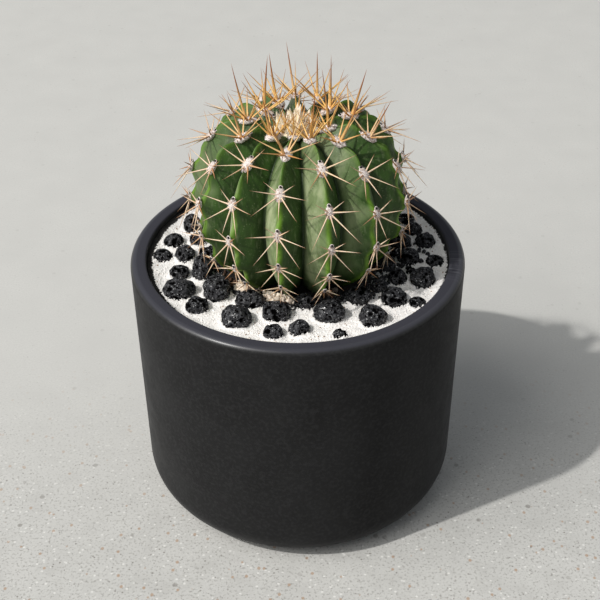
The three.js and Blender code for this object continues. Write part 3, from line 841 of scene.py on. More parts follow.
def floor_material(look):
    material, graph, shader = new_material("pale floor", Specular_IOR_Level=0.2, Roughness=0.85)
    place = graph.place()
    body = mottled(graph, place, look.floor, look.floor_dark, scale=34.0, contrast=1.6)
    gritty = mottled(graph, place, body, look.floor_dark, scale=900.0, contrast=3.0)
    # The floor is coarser and more worn towards the front
    front = graph.ramp(graph.axes(place)["Y"], -90 * MM, 110 * MM, 1.0, 0.0)
    patchy = graph.ramp(graph.noise(place, 14 * MM, 5.0, 0.75), 0.44, 0.70, 0.0, 0.20)
    grit = graph.ramp(graph.noise(place, 1.3 * MM, 3.0, 0.7), 0.53, 0.64, 0.0, 0.85)
    worn = graph.times(graph.larger(patchy, grit), front)
    marked = graph.mix(worn, gritty, look.floor_grit)
    # Chips of stone: tan, pale and dark ones, each in its own stretch of the same cells
    tan = graph.dots(graph.stretched(place, (1, 0.83, 1)), 6.5 * MM, 0.10, 0.15, 0.7)
    tanned = graph.mix(graph.times(tan, front), marked, look.floor_tan)
    pale = graph.dots(graph.stretched(place, (0.87, 1, 1)), 3.6 * MM, 0.12, 0.20, 0.6)
    lightened = graph.mix(graph.times(pale, front), tanned, look.floor_pale)
    sparse = graph.ramp(graph.noise(place, 30 * MM), 0.42, 0.58)
    large = graph.times(graph.dots(place, 13 * MM, 0.08, 0.12, 0.62), sparse)
    crowded = graph.ramp(graph.noise(place, 5 * MM), 0.45, 0.60)
    small = graph.dots(graph.stretched(place, (0.9, 0.9, 1)), 2.6 * MM, 0.13, 0.19, 0.8)
    dark = graph.larger(large, graph.times(small, crowded))
    faint = graph.times(dark, graph.ramp(front, 0.0, 1.0, 0.2, 1.0))
    graph.feed(shader["Base Color"], graph.mix(faint, lightened, look.floor_chip))
    return material


def crest_table():
    """Points along the crest from base to crown, and how far along it each one lies"""
    points = np.array(CREST_OUTLINE, float) * MM
    points[:, 1] += RIM
    padded = np.vstack([points[:1], points, points[-1:]])
    pieces = []
    for before, start, end, after in zip(padded, padded[1:], padded[2:], padded[3:]):
        t = np.linspace(0, 1, CREST_STEPS, endpoint=False)[:, None]
        out, into = (end - before) / 2, (after - start) / 2
        cubic = (2 * start - 2 * end + out + into) * t**3
        square = (-3 * start + 3 * end - 2 * out - into) * t**2
        pieces.append(cubic + square + out * t + start)
    line = np.vstack([*pieces, points[-1:]])
    steps = np.hypot(*np.diff(line, axis=0).T)
    travelled = np.concatenate([[0], np.cumsum(steps)])
    return line, travelled


CREST_LINE, CREST_TRAVEL = crest_table()
CREST_LENGTH = CREST_TRAVEL[-1]


def crest_at(travel):
    """Point, upward tangent and outward normal of the crest, each as radius and height"""
    def point(at):
        return np.stack([np.interp(at, CREST_TRAVEL, CREST_LINE[:, k]) for k in (0, 1)], axis=-1)
    reach = 0.2 * MM
    ahead = np.clip(travel + reach, 0, CREST_LENGTH)
    behind = np.clip(travel - reach, 0, CREST_LENGTH)
    tangent = normalised(point(ahead) - point(behind))
    normal = np.stack([tangent[..., 1], -tangent[..., 0]], axis=-1)
    return point(travel), tangent, normal


def at_azimuth(azimuth, flat):
    """Turns radius and height into x, y and z at an azimuth in radians"""
    radius, height = flat[..., 0], flat[..., 1]
    return np.stack([radius * np.sin(azimuth), -radius * np.cos(azimuth), height], axis=-1)


def level_spots(azimuths, radii):
    """Points at height 0 at some azimuths and distances from the axis"""
    return at_azimuth(azimuths, np.stack([radii, np.zeros(len(radii))], axis=-1))


def areole_distances(rib, look):
    """Distances of a rib's areoles from the middle of the crown"""
    turn = AREOLE_PHASES[rib]
    while True:
        distance = look.start + look.step * turn - look.crowding * turn**3
        if distance > look.last:
            return
        yield distance
        turn += 1


def areole_frames(look, stem_look):
    """Each areole's centre, sideways, upward and outward directions, and youth from 0 to 1"""
    frames = []
    for rib, degrees in enumerate(RIB_AZIMUTHS):
        azimuth = math.radians(degrees)
        for distance in areole_distances(rib, look):
            point, tangent, normal = crest_at(np.array(CREST_LENGTH - distance))
            upward = at_azimuth(azimuth, tangent)
            outward = at_azimuth(azimuth, normal)
            frames.append({
                "centre": at_azimuth(azimuth, point) + np.array(stem_look.shift),
                "upward": upward,
                "outward": outward,
                "sideways": np.cross(upward, outward),
                "youth": max(0.0, 1 - distance / look.young_reach),
                "distance": distance,
            })
    return frames


def growth(table, distance):
    """Reads a table of sizes in mm at a distance from the crown's middle in metres"""
    places, sizes = zip(*table)
    return float(np.interp(distance / MM, places, sizes)) * MM


def rib_columns(columns):
    """Azimuth in radians, step from crest 0 to groove 1, and rib of each column of the stem"""
    half = columns // 2
    rows = []
    for rib, degrees in enumerate(RIB_AZIMUTHS):
        after = RIB_AZIMUTHS[(rib + 1) % len(RIB_AZIMUTHS)]
        gap = (after - degrees) % 360
        for k in range(columns):
            step = min(k, columns - k) / half
            rows.append((math.radians(degrees + gap * k / columns), step, rib if k <= half else rib + 1))
    azimuths, steps, ribs = (np.array(part) for part in zip(*rows))
    return azimuths, steps, ribs % len(RIB_AZIMUTHS)


def stem_surface(travel, columns, look, areole_look):
    """Stem points for each row and column, each column's step from crest to groove, and the creases"""
    azimuths, steps, ribs = rib_columns(columns)
    point, _, normal = crest_at(travel)
    distance = CREST_LENGTH - travel
    notch = np.zeros((len(travel), len(azimuths)))
    crease = np.zeros_like(notch)
    for rib in range(len(RIB_AZIMUTHS)):
        spots = np.array(list(areole_distances(rib, areole_look)))
        mine = np.flatnonzero(ribs == rib)
        # Between areoles the crest sinks a little
        phase = np.interp(distance, spots, np.arange(len(spots)), left=0, right=len(spots) - 1)
        dip = 0.5 - 0.5 * np.cos(TURN * (phase % 1) ** NOTCH_SKEW)
        fade = (1 - np.clip(steps[mine] / NOTCH_REACH, 0, 1)) ** 2
        notch[:, mine] = dip[:, None] * fade[None, :]
        # Creases slant down from beside each areole into the groove
        slanted = distance[:, None] - steps[mine][None, :] * CREASE_SLANT
        across = np.interp(slanted, spots, np.arange(len(spots)), left=0, right=len(spots) - 1)
        near = np.abs(across - np.round(across)) * areole_look.step
        line = np.exp(-(near / CREASE_WIDTH) ** 2)
        band = np.clip(steps[mine] / CREASE_COMES, 0, 1) * np.clip((1 - steps[mine]) / CREASE_GOES, 0, 1)
        inside = (slanted > spots[0] + CREASE_START) & (slanted < spots[-1])
        crease[:, mine] = line * band[None, :] * inside
    radius = point[:, :1]
    inward = radius * look.groove_share * steps[None, :]
    # The crest swells between the crown's areoles and sinks between the older ones
    swell = np.interp(distance / MM, SWELL_PLACES, [0, -look.lobe, -look.lobe, look.notch])
    inward = inward + swell[:, None] * notch + look.crease * crease
    flat = point[:, None, :] - normal[:, None, :] * inward[..., None]
    return at_azimuth(azimuths[None, :], flat) + np.array(look.shift), steps, crease


def painted_sunlight_side(surface, look):
    """How far each point of the stem faces the sun's side, 0 to 1, as a mask for painted light"""
    around = np.roll(surface, -1, axis=1) - np.roll(surface, 1, axis=1)
    upward = np.gradient(surface, axis=0)
    normal = np.cross(around, upward)
    normal /= np.maximum(np.linalg.norm(normal, axis=2, keepdims=True), 1e-9)
    towards = at_azimuth(look.painted_light_turn, np.array([math.cos(look.painted_light_rise), math.sin(look.painted_light_rise)]))
    full = np.interp(normal @ towards, [look.painted_light_edge, look.painted_light_full], [0, 1])
    where = np.degrees(np.arctan2(surface[..., 0], -surface[..., 1]))
    return full * np.interp(where, PAINTED_LIGHT_FADE, [look.painted_light_left, 1])


def pebble_shapes():
    """Centre and half sizes of each pebble's solid"""
    boxes = [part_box(name) for name in PEBBLE_NODES]
    lows = np.array([low[:] for low, _ in boxes])
    highs = np.array([high[:] for _, high in boxes])
    return (lows + highs) / 2, (highs - lows) / 2


def stem_underside(azimuths, radii, look):
    """Height of the stem's underside over points of the sand"""
    travel = np.linspace(0, CREST_LENGTH * UNDERSIDE_SHARE, 120)
    point, _, normal = crest_at(travel)
    ribs = np.radians(np.array(RIB_AZIMUTHS))
    gaps = np.abs((azimuths[:, None] - ribs[None, :] + math.pi) % TURN - math.pi)
    steps = np.clip(gaps.min(axis=1) / (math.pi / len(ribs)), 0, 1)
    levels = np.linspace(0, 1, 9)
    heights = []
    # One outline for each level from crest to groove; outside the stem its height is out of the way
    for level in levels:
        inward = point[:, 0] * look.groove_share * level
        flat = point - normal * inward[:, None]
        widest = int(np.argmax(flat[:, 0]))
        heights.append(np.interp(radii, flat[:widest, 0], flat[:widest, 1], right=1.0))
    heights = np.array(heights)
    low = np.clip((steps * (len(levels) - 1)).astype(int), 0, len(levels) - 2)
    blend = steps * (len(levels) - 1) - low
    index = np.arange(len(radii))
    return heights[low, index] * (1 - blend) + heights[low + 1, index] * blend


def sand_heights(points, look, stem_look):
    """Height of the sand's surface: soft waves, pits under the pebbles, and a hollow for the stem"""
    flat = points * (1, 1, 0)
    heights = SAND_HIGH.z + look.fill - look.swell * 0.6 + look.swell * wobble(flat, look.swell_size)
    from_wall = SAND_HIGH.x - np.hypot(flat[:, 0], flat[:, 1])
    heights += look.bank * np.clip(1 - from_wall / look.bank_width, 0, 1) ** 1.5
    centres, halves = pebble_shapes()
    for centre, half in zip(centres, halves):
        offset = (flat[:, :2] - centre[:2]) / half[:2]
        apart = np.hypot(*offset.T)
        heights += np.exp(-((apart - HEAP_PLACE) / HEAP_WIDTH) ** 2) * look.heap
        under = centre[2] - half[2] * np.sqrt(np.clip(1 - apart**2, 0, 1))
        inside = apart < PIT_REACH
        heights = np.where(inside, np.minimum(heights, under - PEBBLE_GAP), heights)
    radii = np.hypot(flat[:, 0], flat[:, 1])
    azimuths = np.arctan2(flat[:, 0], -flat[:, 1])
    under = stem_underside(azimuths, radii, stem_look)
    return np.minimum(heights, np.maximum(under - STEM_GAP, SAND_FLOOR))


class CACTUS_OT_pot(bpy.types.Operator):
    """Models the pot: a cylinder with a hollow, rounded edges, a standing ring and a drain hole"""
    bl_idname = "cactus.pot"
    bl_label = "Pot"

    def execute(self, context):
        look = context.scene.cactus_pot
        radius, height = POT_HIGH.x, POT_HIGH.z
        foot_radius = radius * look.foot_share
        deselect_all()
        bpy.ops.mesh.primitive_cylinder_add(vertices=look.sides, radius=radius, depth=height,
                                            location=(0, 0, height / 2))
        pot = adopt("pot_body")
        enter_edit(pot)
        pick(pot, "FACE", face_towards(-1, 0))
        bpy.ops.transform.resize(value=(look.foot_share, look.foot_share, 1))
        pick(pot, "FACE", face_towards(1, height))
        bpy.ops.mesh.inset(thickness=look.wall)
        bpy.ops.mesh.extrude_region_move(
            TRANSFORM_OT_translate={"value": (0, 0, look.floor - height)})
        at_floor = foot_radius + (radius - foot_radius) * look.floor / height - look.wall
        narrowing = at_floor / (radius - look.wall)
        bpy.ops.transform.resize(value=(narrowing, narrowing, 1))
        # Which edges are rounded, by how much, and with how many facets
        for ring, rounding, steps in (
            (on_ring(foot_radius, 0), look.foot_rounding, 14),
            (on_ring(at_floor, look.floor, 0.3 * MM), look.inner_rounding, 8),
            (on_ring(radius, height), look.rim_rounding, 7),
            (on_ring(radius - look.wall, height, 0.3 * MM), look.lip_rounding, 4),
        ):
            pick(pot, "EDGE", ring)
            bpy.ops.mesh.bevel(offset=rounding, segments=steps, affect="EDGES", clamp_overlap=False)
        flat_radius = foot_radius - look.foot_rounding
        pick(pot, "FACE", face_towards(-1, 0))
        bpy.ops.mesh.inset(thickness=flat_radius - look.ring_radius)
        bpy.ops.mesh.inset(thickness=look.recess, depth=-look.recess)
        bpy.ops.mesh.inset(thickness=look.ring_radius - look.recess - look.drain_radius)
        bpy.ops.mesh.delete(type="ONLY_FACE")
        pick(pot, "FACE", face_towards(1, look.floor))
        bpy.ops.mesh.inset(thickness=at_floor - look.inner_rounding - look.drain_radius)
        bpy.ops.mesh.delete(type="ONLY_FACE")
        bpy.ops.mesh.select_mode(type="EDGE")
        bpy.ops.mesh.select_all(action="DESELECT")
        bpy.ops.mesh.select_non_manifold()
        bpy.ops.mesh.bridge_edge_loops()
        bpy.ops.mesh.select_all(action="SELECT")
        bpy.ops.mesh.normals_make_consistent(inside=False)
        leave_edit()
        dress(pot, pot_material(look), ["pot"], smooth=32)
        return {"FINISHED"}


class CACTUS_OT_soil(bpy.types.Operator):
    """Finishes the soil's own solid, which the sand hides"""
    bl_idname = "cactus.soil"
    bl_label = "Soil"

    def execute(self, context):
        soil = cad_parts["soil"]
        soil.data.materials.clear()
        soil.data.materials.append(soil_material(context.scene.cactus_sand))
        return {"FINISHED"}


class CACTUS_OT_sand(bpy.types.Operator):
    """Models the bed of sand, pitted under the pebbles, and the coarse grains on it"""
    bl_idname = "cactus.sand"
    bl_label = "Sand"

    def execute(self, context):
        look = context.scene.cactus_sand
        stem_look = context.scene.cactus_stem
        material = sand_material(look)
        bed = self.model_bed(look, stem_look)
        dress(bed, material, ["sand"])
        dress(self.strew_grains(look, stem_look), material, ["sand"])
        return {"FINISHED"}

    def model_bed(self, look, stem_look):
        """A section whose upper edge is cut fine, spun round the axis, then raised and roughened"""
        outer = SAND_HIGH.x
        middle = (look.inner_radius + outer) / 2
        deselect_all()
        bpy.ops.mesh.primitive_plane_add(
            size=1, location=(middle, 0, (SAND_LOW.z + SAND_HIGH.z) / 2), rotation=(math.pi / 2, 0, 0))
        bpy.context.object.scale = (outer - look.inner_radius, SAND_HIGH.z - SAND_LOW.z, 1)
        bed = adopt("sand_bed")
        enter_edit(bed)
        top = SAND_HIGH.z - 0.1 * MM
        pick(bed, "EDGE", lambda edge: all(v.co.z > top for v in edge.verts))
        bpy.ops.mesh.subdivide(number_cuts=look.rows)
        bpy.ops.mesh.select_all(action="SELECT")
        bpy.ops.mesh.delete(type="ONLY_FACE")
        bpy.ops.mesh.select_all(action="SELECT")
        bpy.ops.mesh.spin(steps=look.columns, angle=TURN, center=(0, 0, 0), axis=(0, 0, 1))
        bpy.ops.mesh.select_all(action="SELECT")
        bpy.ops.mesh.remove_doubles(threshold=0.01 * MM)
        bpy.ops.mesh.normals_make_consistent(inside=False)
        leave_edit()
        points = coordinates(bed.data)
        raised = points[:, 2] > top
        random = np.random.default_rng(look.seed)
        surface = points[raised]
        inner = np.hypot(surface[:, 0], surface[:, 1]) < outer - 0.5 * MM
        surface[:, :2] += inner[:, None] * random.uniform(-1, 1, (len(surface), 2)) * look.grain
        surface[:, 2] = sand_heights(surface, look, stem_look)
        surface[:, 2] += random.uniform(-1, 1, len(surface)) * look.grain
        points[raised] = surface
        set_coordinates(bed.data, points)
        return bed

    def strew_grains(self, look, stem_look):
        """Grains over the bed from near the stem's middle to the wall, but not down in the pits"""
        grain, unit = pattern_of(bpy.ops.mesh.primitive_ico_sphere_add, subdivisions=1, radius=1)
        random = np.random.default_rng(look.seed + 1)
        radii = np.sqrt(random.uniform(0.13, 0.985, look.loose)) * SAND_HIGH.x
        spots = level_spots(random.uniform(0, TURN, look.loose), radii)
        spots[:, 2] = sand_heights(spots, look, stem_look)
        spots = spots[spots[:, 2] > SAND_HIGH.z - 1.2 * MM]
        total = len(spots)
        sizes = look.loose_size * random.uniform(0.55, 1.35, (total, 1, 1))
        shapes = unit[None] * random.uniform(0.7, 1.2, (total, len(unit), 1))
        placed = spots[:, None, :] + shapes * sizes
        return copies("sand_grains", grain, placed, {"tint": random.uniform(0, 1, (total, 1))})


class CACTUS_OT_pebbles(bpy.types.Operator):
    """Models each lava pebble over its solid, lumpy and pierced by pores, and the crumbs between them"""
    bl_idname = "cactus.pebbles"
    bl_label = "Lava pebbles"

    # Heaps of crumbs: azimuth in degrees, its spread, distance from the axis in mm, its spread, and
    # how many crumbs
    CRUMBS = [(-100, 4, 43, 1.5, 36), (-84, 8, 43, 3, 40), (-64, 7, 41, 2.2, 60), (-50, 4, 39, 1.4, 30),
              (-28, 3, 36.5, 1.2, 16), (3, 5, 35, 1.3, 20), (30, 8, 38, 2.2, 44), (52, 9, 43, 3.2, 70),
              (76, 10, 46, 4, 84), (96, 6, 52, 5, 50)]

    def execute(self, context):
        look = context.scene.cactus_pebbles
        material = lava_material(look)
        ball, unit = pattern_of(bpy.ops.mesh.primitive_ico_sphere_add, subdivisions=5, radius=1)
        unit = normalised(unit)
        centres, halves = pebble_shapes()
        for k, node in enumerate(PEBBLE_NODES):
            random = np.random.default_rng(look.seed + k)
            points, pore, ridge = self.shape(unit, halves[k], look, random)
            mesh = ball.copy()
            set_coordinates(mesh, points + centres[k])
            paint(mesh, "pore", pore)
            paint(mesh, "ridge", ridge)
            pebble = bpy.data.objects.new("lava_" + node, mesh)
            context.collection.objects.link(pebble)
            dress(pebble, material, [node])
        dress(self.crumbs(look, context.scene), material)
        return {"FINISHED"}

    def crumbs(self, look, scene):
        """Small lava crumbs between the pebbles and against the stem, but not down in the pits"""
        crumb, unit = pattern_of(bpy.ops.mesh.primitive_ico_sphere_add, subdivisions=2, radius=1)
        random = np.random.default_rng(look.seed - 1)
        heaps = []
        for degrees, turn, radius, spread, total in self.CRUMBS:
            azimuths = np.radians(random.normal(degrees, turn, total))
            heaps.append(level_spots(azimuths, random.normal(radius, spread, total) * MM))
        spots = np.vstack(heaps)
        spots[:, 2] = sand_heights(spots, scene.cactus_sand, scene.cactus_stem)
        placed = []
        for spot in spots[spots[:, 2] > SAND_HIGH.z]:
            shape = lumpy(unit, random, height=0.3, size=0.6)
            sizes = look.crumb * random.uniform(0.5, 1.3) * random.uniform(0.75, 1.15, 3)
            placed.append(spot + shape * sizes)
        marks = {"pore": np.zeros((1, 1)), "ridge": np.full((1, 1), 0.4)}
        return copies("lava_crumbs", crumb, np.array(placed), marks)

    def shape(self, unit, half, look, random):
        """Points of one pebble round the origin, how deep in a pore and how raised each one lies"""
        shift = random.uniform(-50, 50, 3)
        # Broad lumps with small chips on them; what stands out most is a ridge, which the material paints
        # greyer and the low places darker, partly as wear and partly as painted shade
        lumps = wobble(unit + shift, 0.9, 2) * look.lump
        chips = wobble(unit + shift, 0.3, 2)
        ridge = np.clip(0.55 + 2.2 * chips, 0, 1)
        points = unit * (1 + lumps + chips * look.chip)[:, None]
        low, high = points.min(axis=0), points.max(axis=0)
        points = (points - (low + high) / 2) / ((high - low) / 2) * half
        mouths = normalised(random.normal(size=(look.pores, 3))) * half
        # Most pores are small, and a few are large
        share_of_range = random.uniform(0, 1, look.pores) ** 4
        sizes = look.pore_small + (look.pore_large - look.pore_small) * share_of_range
        apart = np.linalg.norm(points[:, None, :] - mouths[None], axis=2) / sizes[None]
        bowls = np.clip(1 - apart**2, 0, 1) ** 0.6 * sizes[None] * 0.95
        depth = bowls.max(axis=1)
        # How deep in a pore each point lies, which the material paints dark as painted shade
        pore = np.clip(depth / (0.4 * MM), 0, 1)
        return points - normalised(points) * depth[:, None], pore, ridge


class CACTUS_OT_stem(bpy.types.Operator):
    """Models the ribbed stem from a ball, with its grooves, notches and creases"""
    bl_idname = "cactus.stem"
    bl_label = "Stem"

    def execute(self, context):
        look = context.scene.cactus_stem
        columns = look.columns * len(RIB_AZIMUTHS)
        deselect_all()
        bpy.ops.mesh.primitive_uv_sphere_add(segments=columns, ring_count=look.rows, radius=1)
        stem = adopt("ribbed_stem")
        ball = coordinates(stem.data)
        row = np.rint(np.arccos(np.clip(-ball[:, 2], -1, 1)) / math.pi * look.rows).astype(int)
        column = np.rint((np.arctan2(ball[:, 1], ball[:, 0]) % TURN) / TURN * columns).astype(int) % columns
        travel = np.linspace(0, CREST_LENGTH, look.rows + 1)
        surface, steps, crease = stem_surface(travel, look.columns, look, context.scene.cactus_areoles)
        points = surface[row, column]
        poles = (row == 0) | (row == look.rows)
        points[poles, :2] = 0
        set_coordinates(stem.data, points)
        paint(stem.data, "flank", steps[column])
        paint(stem.data, "crease", crease[row, column])
        # Painted light: how far each point faces the sun's side
        paint(stem.data, "painted_sunlight", painted_sunlight_side(surface, look)[row, column])
        enter_edit(stem)
        bpy.ops.mesh.select_all(action="SELECT")
        bpy.ops.mesh.normals_make_consistent(inside=False)
        leave_edit()
        dress(stem, skin_material(look), ["cactus"])
        return {"FINISHED"}


class CACTUS_OT_areoles(bpy.types.Operator):
    """Models the felt pads along the ribs, their hairs, and the dark gland above each older pad"""
    bl_idname = "cactus.areoles"
    bl_label = "Areoles"

    # Areoles younger than this have no gland yet
    GLAND_YOUTH = 0.62

    def execute(self, context):
        look = context.scene.cactus_areoles
        frames = areole_frames(look, context.scene.cactus_stem)
        felt = felt_material("areole felt", look.felt, look.worn)
        random = np.random.default_rng(look.seed)
        dress(self.pads(frames, look, random), felt, ["cactus"])
        dress(self.hairs(frames, look, random), felt, ["cactus"])
        older = [one for one in frames if one["youth"] < self.GLAND_YOUTH]
        dress(self.rings(older, look), felt, ["cactus"])
        dress(self.glands(older, look), gland_material(look), ["cactus"])
        return {"FINISHED"}

    def pad_size(self, one, look):
        """Half width, half length and height of an areole's pad: long when young, small at the base"""
        width = growth(PAD_GROWTH, one["distance"])
        stretch = look.pad_length * (1 + 0.3 * one["youth"])
        return width * np.array([1, stretch, look.pad_height])

    def to_world(self, one, local):
        axes = np.stack([one["sideways"], one["upward"], one["outward"]])
        return one["centre"] + local @ axes

    def pads(self, frames, look, random):
        ball, unit = pattern_of(bpy.ops.mesh.primitive_uv_sphere_add, segments=18, ring_count=11, radius=1)
        placed = []
        for one in frames:
            shape = lumpy(unit, random, height=0.2, size=0.45)
            placed.append(self.to_world(one, shape * self.pad_size(one, look)))
        youth = np.array([[one["youth"] * 0.2 + 0.75] for one in frames])
        return copies("areole_pads", ball, np.array(placed), {"youth": youth})

    def hairs(self, frames, look, random):
        """Short hairs that stand out of each pad"""
        cone, unit = cone_pattern(3)
        placed, youth = [], []
        for one in frames:
            size = self.pad_size(one, look)
            for _ in range(look.hairs):
                turn, out = random.uniform(0, TURN), math.sqrt(random.uniform(0, 1))
                foot = np.array([math.cos(turn) * out, math.sin(turn) * out,
                                 math.sqrt(1 - out**2) * 0.8])
                lean = normalised(foot + random.normal(0, 0.35, 3))
                side = normalised(np.cross(lean, (0.3, 0.5, 0.8)))
                tall = look.hair_length * random.uniform(0.4, 1.0)
                wide = look.hair_radius
                hair = (unit[:, :1] * side * wide + unit[:, 1:2] * np.cross(lean, side) * wide
                        + unit[:, 2:] * lean * tall)
                placed.append(self.to_world(one, foot * size + hair))
                youth.append([random.uniform(0.85, 1)])
        return copies("areole_hairs", cone, np.array(placed), {"youth": np.array(youth)})

    def above_pad(self, one, look, local, lift):
        """Puts a shape at the upper end of an areole's pad"""
        size = self.pad_size(one, look)
        shift = np.array([0, size[1] + look.gland_radius * 0.3, lift])
        return self.to_world(one, local + shift)

    def rings(self, frames, look):
        """The pale rim round each gland"""
        ring, points = pattern_of(bpy.ops.mesh.primitive_torus_add, major_segments=14, minor_segments=6,
                                  major_radius=look.gland_radius * 1.25,
                                  minor_radius=look.gland_radius * 0.38)
        placed = [self.above_pad(one, look, points, 0.25 * MM) for one in frames]
        return copies("gland_rings", ring, np.array(placed), {"youth": np.full((1, 1), 0.85)})

    def glands(self, frames, look):
        bead, points = pattern_of(bpy.ops.mesh.primitive_uv_sphere_add, segments=12, ring_count=7,
                                  radius=look.gland_radius)
        placed = [self.above_pad(one, look, points, 0.45 * MM) for one in frames]
        return copies("gland_beads", bead, np.array(placed), {})


class CACTUS_OT_spines(bpy.types.Operator):
    """Models the spines: tapered, slightly bent, and clear of the sand and the pebbles"""
    bl_idname = "cactus.spines"
    bl_label = "Spines"

    # Where a spine's pattern is cut across, as shares of its length
    CUTS = (0.06, 0.25, 0.5, 0.75, 0.92)
    # No spine rises more steeply than this from the rib
    UPRIGHT = math.radians(86)
    # A spine that meets the dressing is bent up by steps as far as this, and then shortened by steps
    STEEPEST_BEND = math.radians(72)
    BEND_STEP = math.radians(6)
    SHORTEN_BY = 0.85
    SHORTEST = 4 * MM
    # Shares of a spine's length at which it has to be clear, and its room above the sand
    CHECKS = np.linspace(0.2, 1, 9)
    SAND_ROOM = 2.0 * MM

    def execute(self, context):
        look = context.scene.cactus_spines
        frames = areole_frames(context.scene.cactus_areoles, context.scene.cactus_stem)
        centres, halves = pebble_shapes()
        self.centres, self.halves = centres, halves + look.clearance
        random = np.random.default_rng(look.seed)
        cone, unit = self.tapered_cone(look.taper)
        placed, youth, tint = [], [], []
        for one in frames:
            for root, aim, size, thick, shade in self.fan(one, look, random):
                placed.append(self.bent(unit, one, root, aim, size, thick, random))
                youth.append([one["youth"]])
                tint.append([shade])
        marks = {"along": unit[None, :, 2], "youth": np.array(youth), "tint": np.array(tint)}
        dress(copies("spines", cone, np.array(placed), marks), spine_material(look), ["cactus"])
        return {"FINISHED"}

    def tapered_cone(self, taper):
        """A six-sided cone a unit long, narrowing by the taper and swelled at its root"""
        cone, points = cone_pattern(6, self.CUTS)
        rest = 1 - points[:, 2]
        full = np.where(rest > 0, np.maximum(rest, 1e-6) ** (taper - 1), 0)
        bulb = np.where(points[:, 2] < self.CUTS[0] / 2, 1.3, 1.0)
        points[:, :2] *= (full * bulb)[:, None]
        return cone, points

    def plan(self, one, look, random):
        """Turn, rise, length, thickness and redness of each spine of an areole"""
        youth = one["youth"]
        usual = growth(SPINE_GROWTH, one["distance"])
        lift = look.old_lift + (look.young_lift - look.old_lift) * youth
        infant = youth > look.infant_youth
        for turn, old_share, young_share in SPINE_FAN[::3] if infant else SPINE_FAN:
            size = old_share + (young_share - old_share) * min(1.0, youth * 2)
            yield turn, lift, usual * size, 1.0, random.uniform(0, 0.42)
        # A young areole also has a thick red middle spine, and one more that points up the rib
        if youth > look.central_youth and not infant:
            yield (180 + random.uniform(-45, 45), math.radians(80), look.central_length, 1.5,
                   random.uniform(0.75, 1))
            yield random.uniform(-25, 25), lift, usual, 1.0, random.uniform(0, 0.42)
        # The youngest have few radial spines, but some upright ones
        if infant:
            for _ in range(look.infants):
                rise = math.radians(random.uniform(58, 82))
                yield random.uniform(0, 360), rise, usual * random.uniform(0.9, 1.3), 1.0, 0.1

    def fan(self, one, look, random):
        """Root, direction, length, thickness and redness of each spine of an areole"""
        # Spines of the crown stand up round the vertical rather than round the sunken surface
        outward = normalised(one["outward"] + np.array([0, 0, 1]) * one["youth"])
        for turn, rise, tall, thick, shade in self.plan(one, look, random):
            at = math.radians(turn) + random.uniform(-1, 1) * look.spread
            side = one["upward"] * math.cos(at) + one["sideways"] * math.sin(at)
            rise = min(rise + random.uniform(-1, 1) * look.spread, self.UPRIGHT)
            tall = tall * random.uniform(0.86, 1.12)
            root = one["centre"] + side * 0.9 * MM + one["outward"] * 0.4 * MM
            aim, tall = self.cleared(root, side, outward, rise, tall)
            thick *= 0.9 + look.young_bulk * one["youth"]
            yield root, aim, tall, look.thickness * thick * random.uniform(0.88, 1.1), shade

    def cleared(self, root, side, outward, rise, tall):
        """Bends a spine up and then shortens it until it clears the dressing"""
        aim = side * math.cos(rise) + outward * math.sin(rise)
        while not self.clears(root, aim, tall) and rise < self.STEEPEST_BEND:
            rise += self.BEND_STEP
            aim = side * math.cos(rise) + outward * math.sin(rise)
        while not self.clears(root, aim, tall) and tall > self.SHORTEST:
            tall *= self.SHORTEN_BY
        return aim, tall

    def clears(self, root, aim, tall):
        points = root + self.CHECKS[:, None] * aim * tall
        if points[:, 2].min() < SAND_HIGH.z + self.SAND_ROOM:
            return False
        offset = (points[:, None, :] - self.centres[None]) / self.halves[None]
        return bool(np.linalg.norm(offset, axis=2).min() > 1)

    def bent(self, unit, one, root, aim, tall, thick, random):
        """Points of one spine, which sags a little to one side along its length"""
        side = normalised(np.cross(aim, one["sideways"] + one["upward"] * 0.3))
        other = np.cross(aim, side)
        sag = (side * random.normal(0, 0.02) + other * random.normal(0, 0.02)) * tall
        along = unit[:, 2:]
        return (root + aim * along * tall + (side * unit[:, :1] + other * unit[:, 1:2]) * thick
                + sag * along**2)


